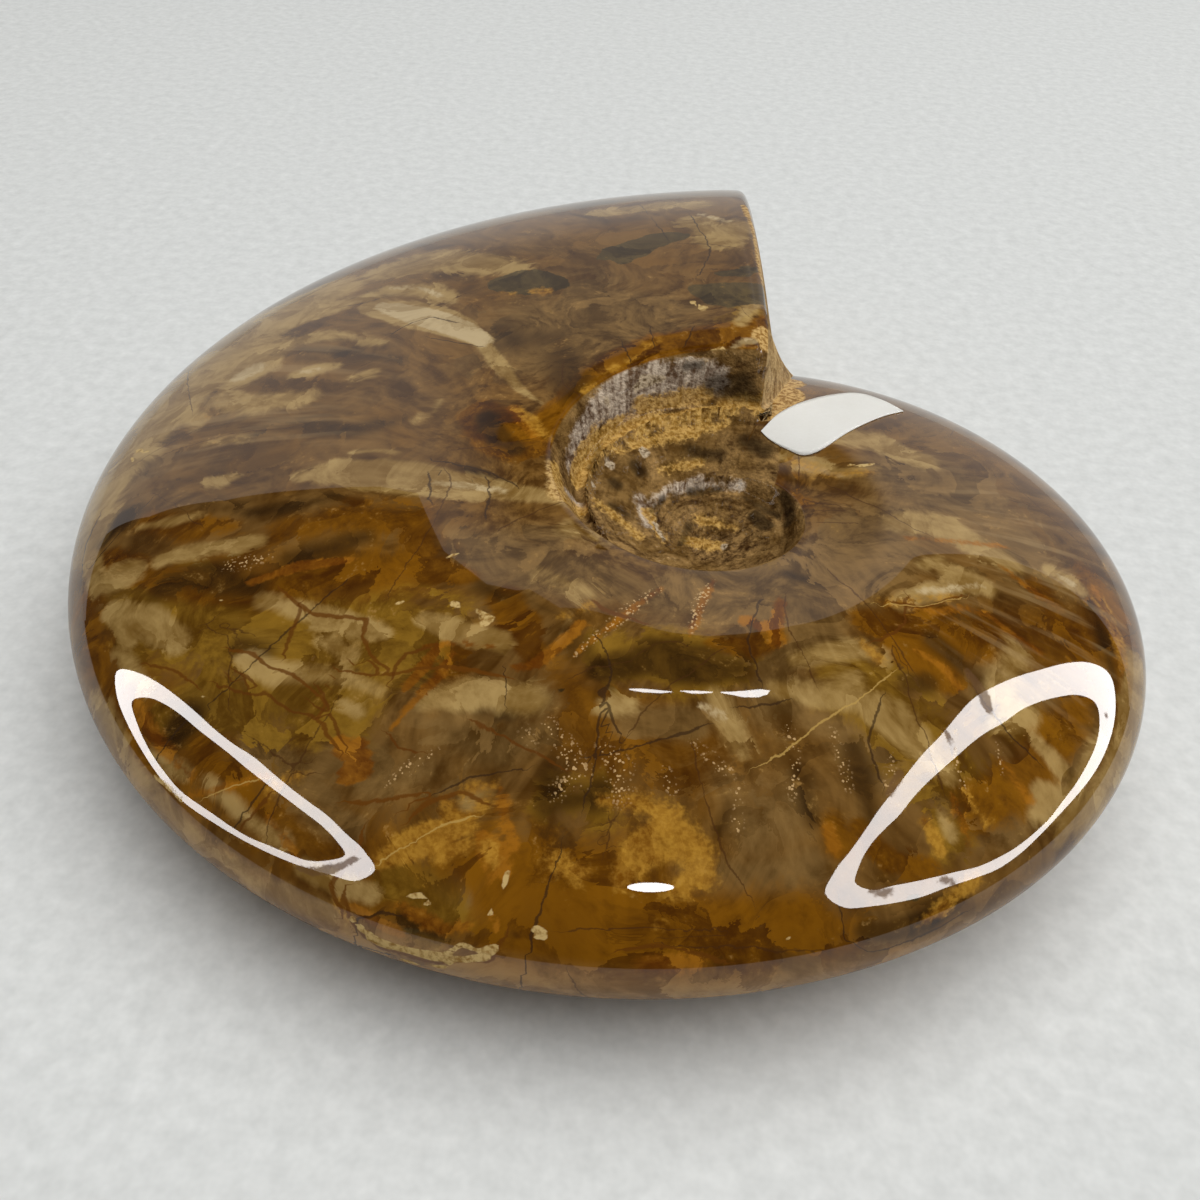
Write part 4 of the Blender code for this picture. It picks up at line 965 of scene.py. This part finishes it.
         (12.2, -1.9, 33.3, 0.6)),
    ),
    "clear": (
        (0.4, (22.4, 6.8, 35.8, 5.3), (17.8, 4, 37.2, 2.8), (13, 2.9, 36.8, 2.7),
         (7.9, 0.7, 36.3, 2.9), (4, -2.6, 35.8, 2.8), (0.4, -6.6, 35.2, 2.6), (-1.8, -10.6, 34.6, 2.2),
         (-3.9, -14.6, 34.1, 2.3), (-6.2, -18, 33.6, 2), (-9.9, -18.6, 33.3, 2.1)),
    ),
}
LINES = {
    "crack": (
        ((-24.4, -44.8, 28.7), (-28.2, -50, 27), (-32, -55.1, 25), (-35.3, -59.2, 22.7)),
        ((-40.7, -64, 18.2), (-38.3, -61.2, 21)), ((-29.6, -71.9, 17.8), (-27, -68.5, 21)),
        ((-59.6, -36.1, 20.4), (-57.3, -32, 22.6), (-54.9, -27.3, 24.5)), ((-31.1, 6.1, 32.3),
         (-28.9, 8.7, 32.6), (-26.3, 10.3, 33), (-22.3, 8.3, 33.6)), ((-17.3, 1, 34),
         (-21.3, 2.5, 33.6), (-24.9, 3.9, 33.2)), ((-18.2, -27.7, 31.8), (-17.5, -31.3, 31.4)),
        ((-10.5, -33.5, 31.7), (-10.3, -30.7, 32), (-11.2, -27.8, 32.3)), ((-17.9, -24.5, 32.1),
         (-14, -25.4, 32.4), (-10.4, -26.9, 32.5), (-7.7, -28.3, 32.4)), ((4.3, -73.9, 22.9),
         (3.4, -77, 21.2), (2.4, -80.7, 18.2), (1.6, -82.8, 12.9)), ((-11, -79.5, 17.2),
         (-12.9, -79.3, 16.9), (-15.1, -79.5, 15.6), (-15.4, -79.7, 11.5), (-12.3, -80.8, 12.4)),
        ((16.5, -60.7, 27.6), (10.7, -63.4, 26.9), (5.9, -65.2, 26.4)), ((20.9, -57.7, 28.1),
         (24.5, -56.6, 28.2)), ((-4.1, -56.6, 28.3), (-3.6, -59.8, 27.5)), ((-8.5, -69.5, 24),
         (-5, -67.8, 25), (-0.9, -66.8, 25.6)), ((5.7, 5.4, 36.3), (7, 0.2, 36.2)), ((11.5, 6.1, 36.8),
         (10.9, 1.3, 36.6)), ((2.1, 2.2, 35.9), (4, -2.8, 35.7)), ((9.1, 49, 34.9), (13.2, 32.1, 36.6),
         (11.8, 22.5, 36.9)), ((0.2, 56.3, 32.9), (6.2, 36.3, 35.9)), ((-60.5, -39.4, 18.5),
         (-62.9, -31.8, 19.4), (-62.8, -27.1, 20.7)), ((6, -57.6, 28.4), (6.5, -65.3, 26.3),
         (5.9, -69.4, 24.9)), ((51.5, -56.6, 23.6), (48.9, -54.8, 25), (45.4, -50.5, 26.9)),
        ((31.2, -74.9, 20.1), (32, -77, 17.7), (34.6, -76.9, 15.9), (39.1, -74.8, 15.8),
         (44.1, -71.7, 16.8)), ((5.2, -51.3, 29.6), (6.9, -54.8, 29), (6.5, -58.7, 28.2),
         (8.3, -62.2, 27.3)), ((22.1, -42.5, 29.8), (20.9, -49.1, 29.6), (22.4, -54.2, 28.8)),
        ((35, -54.3, 27.7), (33.6, -59.2, 26.7), (34.8, -63.2, 25.3)),
    ),
    "vein": (
        ((-31.2, -46, 27.3), (-27.3, -49.1, 27.4), (-23.7, -49.7, 27.8), (-20.7, -50, 28.1),
         (-20.4, -52.5, 27.6), (-19, -54.8, 27.3), (-16.9, -56.4, 27.2)), ((-21.4, -56.6, 26.5),
         (-18.7, -57.2, 26.7), (-16.1, -57.1, 27.1), (-13.3, -56.3, 27.6), (-10.6, -56, 27.9),
         (-7.4, -56.3, 28.1), (-4.4, -56.8, 28.2)), ((-35.1, -53.4, 24.7), (-32.2, -54.2, 25.1),
         (-30, -56, 25.1), (-26.9, -57, 25.5), (-24.5, -58.7, 25.4), (-22.5, -60.5, 25.2),
         (-23, -62, 24.6), (-21.1, -64.2, 24.2), (-20.1, -65.2, 24)), ((-45, -53.9, 21.5),
         (-41.9, -54.9, 22.2), (-38.4, -57.1, 22.6)), ((-17.5, -70.6, 22.2), (-14.4, -70.4, 22.8),
         (-10.5, -69.8, 23.6)), ((4.7, -46.8, 30.3), (9.2, -48.3, 30)), ((37.2, -40.6, 29.6),
         (40.6, -40.4, 29.2), (44.8, -37.6, 28.9)), ((11.2, -81, 17.9), (14.5, -80.3, 18.4),
         (20.2, -80.5, 17.2)), ((-16.5, -78.3, 16.9), (-15.6, -79.6, 15.2), (-12.9, -80.7, 13.2),
         (-7.5, -81.9, 13.5), (-1.3, -82.2, 15.5), (-0.4, -81.1, 17.4)), ((-17, -78.5, 16.3),
         (-18.2, -77.2, 17.5), (-16.2, -75.6, 19.5), (-15.6, -73.7, 20.9)), ((-10.9, -71.7, 22.7),
         (-9.4, -70.3, 23.5), (-6.3, -69.4, 24.2), (-4.4, -70.1, 24.1)),
    ),
    "vein_too": (
        ((-16, -57.3, 27), (-15.8, -55.8, 27.5), (-15.4, -54.6, 27.8), (-13.2, -53.7, 28.2)),
        ((-33.4, -56.2, 24.3), (-29.7, -58.8, 24.3), (-26.3, -61, 24.3), (-23.2, -61.9, 24.6)),
        ((-35.5, -57.6, 23.3), (-32.6, -58.6, 23.7), (-30, -59.1, 24.2)), ((-14.7, -64.2, 25.2),
         (-13.7, -65.2, 25), (-11.8, -65.6, 25.1)), ((-26.6, -70.1, 20.2), (-28.9, -72.1, 17.9)),
        ((-23.6, -58.8, 25.5), (-19.3, -64.9, 24.2)), ((-28.6, -48.6, 27.2), (-28.9, -53.8, 26)),
        ((35.2, -46.4, 29.1), (38.1, -43.6, 29.1), (38.4, -39.8, 29.5)), ((-5.7, -62.5, 26.6),
         (-1.3, -64.4, 26.4), (3, -66.2, 26)),
    ),
    "pale": (
        ((22.7, -63.9, 26.4), (25.9, -61.4, 26.9), (28.4, -58.6, 27.4), (30.9, -56.3, 27.7),
         (34.1, -53.2, 28), (35.9, -51.1, 28.2)), ((-13.3, -75.7, 20.1), (-10.6, -74.3, 21.4),
         (-7.9, -72.5, 22.7), (-5.1, -71.8, 23.3)), ((-33.7, -68.8, 18.3), (-30.4, -68.3, 20),
         (-27.5, -67.9, 21.2)), ((36, -41.1, 29.6), (40.6, -40.2, 29.2), (44.8, -37.8, 28.9)),
    ),
}


def nearest(start, end):
    """How far every point of the stone is from a straight piece, and where along the piece."""
    step = end - start
    share = np.clip((points - start) @ step / (step @ step + 1e-9), 0, 1)
    away = points - start - share[:, None] * step
    return np.linalg.norm(away, axis=1), share, away, step


def painted(name, values):
    made.attributes.new(name, "FLOAT", "POINT").data.foreach_set(
        "value", np.asarray(values, np.float32))


def read(collection, name, count):
    """A value of every point of the stone."""
    found = np.empty(len(points) * count, np.float32)
    collection.foreach_get(name, found)
    return found.reshape(-1, count).squeeze()


def sloped(values, none, full):
    """0 at one value, 1 at the other, and straight between them."""
    return np.clip((values - none) / (full - none), 0, 1)


points = points.astype(np.float64) * MM
normals = read(made.vertices, "normal", 3)

# The underside and the back have marks of the same kinds at random places: how many, and the
# widest half width in millimetres.
HIDDEN_MARKS = {"slate": (10, 7), "olive": (14, 8), "amber": (14, 8), "dark": (12, 4),
                "cream": (16, 5), "rust": (16, 2), "gold": (12, 2)}
HIDDEN_SLOPE = -0.25           # upward part of the normal below which a point counts as hidden
HIDDEN_REACH = 12              # longest part of a mark along an axis, in millimetres
chance = np.random.default_rng(11)
hidden = points[normals[:, 2] < HIDDEN_SLOPE]
for name, (count, widest) in HIDDEN_MARKS.items():
    extra = []
    for index in range(count):
        here = hidden[chance.integers(len(hidden))]
        there = here + chance.uniform(-HIDDEN_REACH, HIDDEN_REACH, 3) * (1, 1, 0.2)
        wide = chance.uniform(0.4, 1) * widest
        extra.append((wide * 0.6, (*here, wide), (*there, wide * 0.5)))
    MARKS[name] = (*MARKS[name], *extra)

# The rim turns paler below a height, partly its own colour and partly a painted reflection of the
# floor, and rough matrix fills the umbilicus up to its shoulder.
RIM_HEIGHTS = (19, 14)         # in millimetres
MATRIX_EDGE = (1.13, 1.08)     # radius over the shoulder's
MATRIX_START = (30, 60)        # degrees of coil
angles = read(made.attributes["angle"].data, "value", 1)
radii = read(made.attributes["radius"].data, "value", 1)
share = radii / (APERTURE_RADIUS * UMBILICUS_SHARE * WHORL_RATIO ** (angles / TURN - 1))
painted("rim", sloped(points[:, 2], *RIM_HEIGHTS))
painted("matrix", sloped(share, *MATRIX_EDGE) * sloped(angles, *MATRIX_START)
        * (normals[:, 2] > -0.5))

# A stroke's field is 1 well inside it, 0 on its edge and -1 far away.
for name, strokes in MARKS.items():
    field = np.full(len(points), -1.0)
    for soft, *places in strokes:
        for first, second in zip(places, places[1:] or places):
            away, share, _, _ = nearest(np.array(first[:3]), np.array(second[:3]))
            half = first[3] + (second[3] - first[3]) * share
            field = np.maximum(field, (half - away) / soft)
    painted(name, np.clip(field, -1, 1))

# Hair cracks wander over the whole stone.
HAIR_CRACKS = 90
lines = []
for index in range(HAIR_CRACKS):
    here = points[chance.integers(len(points))]
    heading = chance.normal(size=3)
    places = [here]
    for step in range(chance.integers(3, 7)):
        heading = heading + chance.normal(size=3) * 0.5
        heading *= chance.uniform(2.5, 5) / np.linalg.norm(heading)
        here = points[np.argmin(((points - here - heading) ** 2).sum(axis=1))]
        places.append(here)
    lines.append(places)
LINES["hair"] = lines

# A line's value is the distance to it, with a sign for the side, and a mask says where it is near.
LINE_REACH = 3                 # in millimetres, like the next two
FARTHEST = 9.0
NEAR_LINE = (2.0, 0.8)         # distances between which the mask comes on
for name, lines in LINES.items():
    best = np.full(len(points), FARTHEST)
    signed = best.copy()
    for places in lines:
        for first, second in zip(places, places[1:]):
            away, share, offset, step = nearest(np.array(first), np.array(second))
            side = np.sign(np.einsum("ij,ij->i", np.cross(step, normals), offset))
            signed = np.where(away < best, away * side, signed)
            best = np.minimum(away, best)
    painted(name, np.clip(signed, -LINE_REACH, LINE_REACH))
    painted(name + "_near", sloped(best, *NEAR_LINE))

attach(shell, "root")
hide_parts("ammonite")

# The blank paper label, lying on the flank beside the umbilicus: thin white paper cut to the
# shape of a leaf, stuck down over its whole length so that it takes the bend of the stone.
LABEL_EDGES = (((22.0, -7.0), (22.9, -5.6), (24.8, -2.2), (27.6, 1.3), (31.7, 5.2), (36.0, 8.2),
                (39.3, 6.9), (42.0, 3.6)),
               ((22.0, -7.0), (23.2, -8.5), (25.5, -10.4), (27.9, -11.8), (30.7, -10.3), (34.0, -5.9),
                (38.3, -0.5), (42.0, 3.6)))      # the two long edges in the plan, in millimetres
LABEL_COLUMNS = 56
LABEL_ROWS = 16
PAPER_THICKNESS = 0.00013
PAPER_GAP = 0.00004            # the glue between the paper and the stone
LABEL_MERGE = 0.00001          # points nearer than this are one
RAY_START = 0.1                # a height over the whole fossil


def curve_through(places, at, closed=False):
    """A place on the smooth curve through places, which lie at the whole numbers."""
    count = len(places)
    index = int(at) if closed else min(int(at), count - 2)
    at -= index
    before, first, second, after = (
        np.array(places[each % count if closed else min(max(each, 0), count - 1)])
        for each in range(index - 1, index + 3))
    return first + 0.5 * at * (second - before + at * (
        2 * before - 5 * first + 4 * second - after + at * (3 * (first - second) + after - before)))


tree = BVHTree.FromPolygons([vertex.co for vertex in made.vertices],
                            [tuple(face.vertices) for face in made.polygons])
sheet = bmesh.new()
faces = []
for lift in (PAPER_THICKNESS, 0.0):
    layer = []
    for column in range(LABEL_COLUMNS + 1):
        share = (1 - math.cos(math.pi * column / LABEL_COLUMNS)) / 2
        high, low = (curve_through(edge, share * (len(edge) - 1)) for edge in LABEL_EDGES)
        line = []
        for row in range(LABEL_ROWS + 1):
            x, y = (low + (high - low) * row / LABEL_ROWS) / MM
            spot, normal, _, _ = tree.ray_cast(Vector((x, y, RAY_START)), Vector((0, 0, -1)))
            line.append(sheet.verts.new(spot + normal * (lift + PAPER_GAP)))
        layer.append(line)
    faces.append(layer)
upper, lower = faces
for column in range(LABEL_COLUMNS):
    for row in range(LABEL_ROWS):
        corners = ((column, row), (column + 1, row), (column + 1, row + 1), (column, row + 1))
        sheet.faces.new([upper[i][j] for i, j in corners])
        sheet.faces.new([lower[i][j] for i, j in reversed(corners)])
for row in (0, LABEL_ROWS):
    for column in range(LABEL_COLUMNS):
        sheet.faces.new((upper[column][row], lower[column][row],
                         lower[column + 1][row], upper[column + 1][row]))
for column in (0, LABEL_COLUMNS):
    for row in range(LABEL_ROWS):
        sheet.faces.new((upper[column][row], upper[column][row + 1],
                         lower[column][row + 1], lower[column][row]))
bmesh.ops.remove_doubles(sheet, verts=sheet.verts, dist=LABEL_MERGE)
bmesh.ops.recalc_face_normals(sheet, faces=sheet.faces)
label_mesh = bpy.data.meshes.new("label_sheet")
sheet.to_mesh(label_mesh)
sheet.free()
label_mesh.shade_smooth()
label = bpy.data.objects.new("label_sheet", label_mesh)
bpy.context.scene.collection.objects.link(label)

paper = bpy.data.materials.new("white_paper")
paper.use_nodes = True
paper_tree = paper.node_tree
paper_shader = paper_tree.nodes["Principled BSDF"]
place = Wire(paper_tree, paper_tree.nodes.new("ShaderNodeTexCoord").outputs["Object"])
place = place.vector("SCALE", scale=MM)
fibres = noise(place.vector("MULTIPLY", (1.0, 1.6, 1.0)), 2.2, 4.0, 0.6)
stain = noise(place, 0.25, 2.0)
paper_color = mixed((0.680, 0.660, 0.610), (0.820, 0.815, 0.780), fibres * 0.5 + stain * 0.5)
paper_tree.links.new(paper_color.socket, paper_shader.inputs["Base Color"])
paper_tree.links.new((fibres * 0.2 + 0.5).socket, paper_shader.inputs["Roughness"])
bump = place.node("ShaderNodeBump", {}, {"Strength": 0.2, "Distance": 0.0001, "Height": fibres})
paper_tree.links.new(bump.socket, paper_shader.inputs["Normal"])
label_mesh.materials.append(paper)
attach(label, "root")
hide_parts("paper_label")

# The floor: a plain pale sheet, larger than the view.
FLOOR_SIZE = 1.1               # half a side
FLOOR_NOISE_SCALE = 380.0      # a metre
floor_mesh = bpy.data.meshes.new("floor")
floor_mesh.from_pydata([(x * FLOOR_SIZE, y * FLOOR_SIZE, 0) for x, y in
                        ((-1, -1), (1, -1), (1, 1), (-1, 1))], [], [(0, 1, 2, 3)])
floor = bpy.data.objects.new("floor", floor_mesh)
bpy.context.scene.collection.objects.link(floor)
floor_material = bpy.data.materials.new("pale_floor")
floor_material.use_nodes = True
floor_tree = floor_material.node_tree
floor_tree.nodes.remove(floor_tree.nodes["Principled BSDF"])
place = Wire(floor_tree, floor_tree.nodes.new("ShaderNodeTexCoord").outputs["Object"])
flecks = noise(place, FLOOR_NOISE_SCALE, 2.0, 0.7)
matt = place.node("ShaderNodeBsdfDiffuse", {}, {
    "Color": mixed((0.56, 0.57, 0.56), (0.80, 0.81, 0.80), flecks)})
floor_tree.links.new(matt.socket, floor_tree.nodes["Material Output"].inputs["Surface"])
floor_mesh.materials.append(floor_material)

# The camera, at the photograph's angle and distance.
CAMERA_FOCUS = 1197.4          # focal length in pixels of the 1200 pixel frame
FRAME_WIDTH = 1200
SENSOR = 36.0                  # in millimetres
CAMERA_ELEVATION = math.radians(42.0925)
CAMERA_DISTANCE = 1.489146 * APERTURE_RADIUS
COIL_OFFSET = (98.0808, -34.3519)    # of the coil's middle from the frame's, in pixels
PAN, DIP = (math.atan2(offset, CAMERA_FOCUS) for offset in COIL_OFFSET)
ROLL = math.radians(4.13446)
right = Vector((1, 0, 0))
ahead = Vector((0, math.cos(CAMERA_ELEVATION), -math.sin(CAMERA_ELEVATION)))
up = right.cross(ahead)
eye = -ahead * CAMERA_DISTANCE
right, ahead = (right * math.cos(PAN) + ahead * math.sin(PAN),
                ahead * math.cos(PAN) - right * math.sin(PAN))
up, ahead = up * math.cos(DIP) - ahead * math.sin(DIP), up * math.sin(DIP) + ahead * math.cos(DIP)
right, up = (right * math.cos(ROLL) + up * math.sin(ROLL),
             up * math.cos(ROLL) - right * math.sin(ROLL))
lean = REST_LEAN.to_matrix()
camera_data = bpy.data.cameras.new("camera")
camera_data.sensor_width = SENSOR
camera_data.lens = SENSOR * CAMERA_FOCUS / FRAME_WIDTH
camera_data.clip_start = 0.01
camera = bpy.data.objects.new("camera", camera_data)
bpy.context.scene.collection.objects.link(camera)
turned = Matrix([lean @ right, lean @ up, lean @ -ahead]).transposed()
camera.matrix_world = Matrix.LocRotScale(COIL_PLACE + lean @ eye, turned.to_quaternion(), None)
bpy.context.scene.camera = camera

# The studio: a bright wall far behind, two big hoops of light to the left and the right, and thin
# and small lamps overhead. Each is a glowing sheet between two outlines, given as the azimuth and
# the elevation in degrees in which the fossil sees them. A wide soft light hangs above.
LAMP_DISTANCE = 2.0
LEFT_HOOP = (
    (-81.4, 14.9, -87.1, 16.8), (-80.9, 23.5, -85.6, 24.5), (-82.0, 29.0, -86.4, 29.1),
    (-84.0, 32.8, -88.2, 32.2), (-86.6, 35.8, -90.6, 34.5), (-89.8, 38.3, -93.0, 36.7),
    (-92.8, 40.7, -95.6, 38.6), (-95.7, 43.3, -98.7, 40.1), (-99.9, 44.9, -102.0, 41.5),
    (-104.5, 46.2, -105.4, 42.7), (-109.3, 47.3, -109.1, 43.7), (-114.5, 48.0, -113.0, 44.3),
    (-121.0, 47.1, -117.3, 44.5), (-127.4, 45.6, -122.4, 43.4), (-134.6, 40.2, -128.1, 39.9),
    (-136.2, 29.5, -128.8, 32.5), (-132.7, 25.9, -127.6, 26.6), (-129.3, 21.7, -124.7, 24.0),
    (-125.6, 18.2, -121.8, 21.4), (-121.7, 15.0, -119.1, 18.1), (-117.6, 11.9, -115.9, 16.3),
    (-113.5, 8.8, -112.6, 14.9), (-109.2, 5.0, -109.4, 12.5), (-104.7, 3.8, -106.1, 10.0),
    (-100.1, 4.9, -102.5, 10.3), (-95.5, 6.7, -98.8, 11.0), (-90.9, 8.0, -95.1, 12.3),
    (-86.2, 9.8, -91.2, 14.2))
RIGHT_HOOP = (
    (135.7, 47.5, 128.4, 47.7), (127.3, 54.9, 121.0, 53.9), (117.5, 58.6, 112.7, 57.2),
    (106.7, 60.9, 104.9, 58.3), (95.6, 61.9, 97.6, 58.3), (85.7, 61.4, 90.1, 58.2),
    (77.1, 60.1, 83.6, 57.3), (70.0, 58.1, 78.3, 55.7), (64.7, 55.5, 74.0, 53.8),
    (59.8, 52.7, 70.1, 51.6), (56.3, 49.6, 67.4, 49.1), (55.2, 46.0, 65.7, 46.1),
    (55.1, 42.1, 63.7, 43.1), (55.7, 37.7, 63.0, 39.5), (56.4, 32.4, 63.2, 35.1),
    (58.0, 25.6, 64.1, 29.8), (61.4, 17.4, 67.0, 23.3), (66.6, 13.3, 71.9, 19.8),
    (72.0, 11.0, 76.7, 18.3), (77.6, 10.2, 81.4, 18.3), (83.2, 10.8, 86.2, 18.3),
    (88.8, 12.8, 90.8, 18.6), (94.3, 13.8, 95.6, 17.7), (99.9, 13.3, 100.1, 17.9),
    (105.3, 12.0, 104.4, 18.7), (110.5, 12.5, 108.4, 20.8), (115.2, 17.3, 112.2, 23.8),
    (119.6, 21.8, 115.2, 28.6), (124.3, 23.6, 118.4, 32.3), (128.6, 27.3, 121.7, 35.6),
    (132.7, 31.5, 125.0, 38.6), (136.5, 36.4, 128.6, 40.8))
BACK_WALL = (
    (-72.0, 0.5, -72.0, -2.0), (-60.0, 9.0, -60.0, -2.0), (-55.8, 20.7, -55.8, -2.0),
    (-48.6, 30.6, -48.6, -2.0), (-41.4, 36.4, -41.4, -2.0), (-33.6, 41.2, -33.6, -2.0),
    (-28.5, 44.8, -28.5, -2.0), (-30.5, 50.5, -27.0, -2.0), (-27.0, 55.3, -25.0, -2.0),
    (-14.0, 58.5, -14.0, -2.0), (-4.9, 56.9, -4.9, -2.0), (0.0, 55.5, 0.0, -2.0),
    (3.2, 54.6, 3.2, -2.0), (6.7, 52.7, 6.7, -2.0), (11.0, 47.0, 11.0, -2.0),
    (22.0, 40.0, 22.0, -2.0), (36.0, 30.0, 36.0, -2.0), (50.0, 18.0, 50.0, -2.0),
    (66.0, 1.0, 66.0, -2.0))
THIN_LAMPS = (
    ((-7.0, 70.8, -7.0, 71.0), (-3.5, 70.6, -3.5, 71.2), (2.0, 70.5, 2.0, 71.0),
     (5.0, 70.4, 5.0, 70.5)),
    ((7.0, 70.0, 7.0, 70.1), (10.0, 69.6, 10.3, 70.1), (13.0, 69.2, 13.4, 69.6),
     (15.0, 69.0, 15.2, 69.1)),
    ((17.0, 68.6, 17.1, 68.8), (19.5, 68.0, 20.0, 68.6), (22.0, 67.2, 23.0, 68.4),
     (24.5, 66.2, 26.0, 67.6), (26.5, 65.9, 27.0, 66.6)))
SMALL_LAMP = tuple((172.3 + 6.2 * math.cos(turn), 61.8 + 1.9 * math.sin(turn),
                    172.3 + 6.2 * math.cos(turn), 61.8 - 1.9 * math.sin(turn))
                   for turn in (math.pi * step / 12 for step in range(13)))
HOOP_PIECES = 4                # pieces of curve between two rows of a hoop
WARM_WHITE = (1.0, 0.975, 0.965)
WHITE = (1.0, 1.0, 1.0)


def lamp(name, rows, color, strength, hoop=False):
    """A glowing sheet between two outlines. A hoop's outlines are closed and smooth."""
    if hoop:
        rows = [curve_through(rows, step / HOOP_PIECES, closed=True)
                for step in range(len(rows) * HOOP_PIECES)]
    corners = []
    for row in rows:
        for azimuth, elevation in (row[:2], row[2:]):
            azimuth, elevation = math.radians(azimuth), math.radians(elevation)
            corners.append(COIL_PLACE + LAMP_DISTANCE * Vector((
                math.sin(azimuth) * math.cos(elevation),
                math.cos(azimuth) * math.cos(elevation), math.sin(elevation))))
    total = len(corners)
    faces = [(start, start + 1, (start + 3) % total, (start + 2) % total)
             for start in range(0, total if hoop else total - 2, 2)]
    mesh = bpy.data.meshes.new(name)
    mesh.from_pydata(corners, [], faces)
    glow = bpy.data.materials.new(name)
    glow.use_nodes = True
    glow.node_tree.nodes.remove(glow.node_tree.nodes["Principled BSDF"])
    light = glow.node_tree.nodes.new("ShaderNodeEmission")
    light.inputs["Color"].default_value = (*color, 1)
    light.inputs["Strength"].default_value = strength
    glow.node_tree.links.new(light.outputs[0], glow.node_tree.nodes["Material Output"].inputs[0])
    glow.cycles.emission_sampling = "NONE"
    mesh.materials.append(glow)
    sheet = bpy.data.objects.new(name, mesh)
    sheet.visible_camera = False
    sheet.visible_diffuse = False
    bpy.context.scene.collection.objects.link(sheet)
    return glow.node_tree


lamp("left_hoop", LEFT_HOOP, WARM_WHITE, 11.5, hoop=True)
lamp("right_hoop", RIGHT_HOOP, WARM_WHITE, 11.5, hoop=True)
for rows in THIN_LAMPS:
    lamp("thin_lamp", rows, WHITE, 14.0)
lamp("small_lamp", SMALL_LAMP, WHITE, 20.0)

# How strongly the wall glows at each share of its height.
WALL_GLOW = ((0.0, 0.5), (0.12, 0.45), (0.24, 0.28), (0.35, 0.25), (0.52, 0.2), (0.62, 0.06),
             (0.7, 0.06), (0.77, 0.3), (1.0, 0.4))
SIDE_GLOW = 0.5                # beside the dim middle
DIM_MIDDLE = 0.17              # slope of its direction, to the left of straight behind
DIM_WIDTH = (0.12, 0.35)       # slopes from there between which it ends

# The wall is dimmer in the middle, straight behind the fossil.
wall_tree = lamp("back_wall", BACK_WALL, (1.0, 0.97, 0.96), 1.0)
place = Wire(wall_tree, wall_tree.nodes.new("ShaderNodeTexCoord").outputs["Object"])
x, y, z = place.parts()
height = z.node("ShaderNodeFloatCurve", {"points": WALL_GLOW}, {"Value": z / LAMP_DISTANCE})
beside = (x / y + DIM_MIDDLE).maths("ABSOLUTE").eased(*DIM_WIDTH)
glow = height + beside * (SIDE_GLOW - height)
wall_tree.links.new(glow.socket, wall_tree.nodes["Emission"].inputs["Strength"])

overhead_data = bpy.data.lights.new("overhead", "AREA")
overhead_data.shape = "DISK"
overhead_data.size = 3.0
overhead_data.energy = 55.0
overhead_data.color = (1.0, 1.0, 0.99)
overhead = bpy.data.objects.new("overhead", overhead_data)
overhead.location = (0.45, -0.1, 1.7)
overhead.rotation_euler = (math.radians(-3), math.radians(15), 0)
overhead.visible_glossy = False
overhead.visible_camera = False
bpy.context.scene.collection.objects.link(overhead)

world = bpy.data.worlds.new("room")
world.use_nodes = True
world.node_tree.nodes["Background"].inputs["Color"].default_value = (0.9, 0.95, 1.0, 1)
world.node_tree.nodes["Background"].inputs["Strength"].default_value = 0.03
bpy.context.scene.world = world
bpy.context.scene.view_settings.view_transform = "Standard"
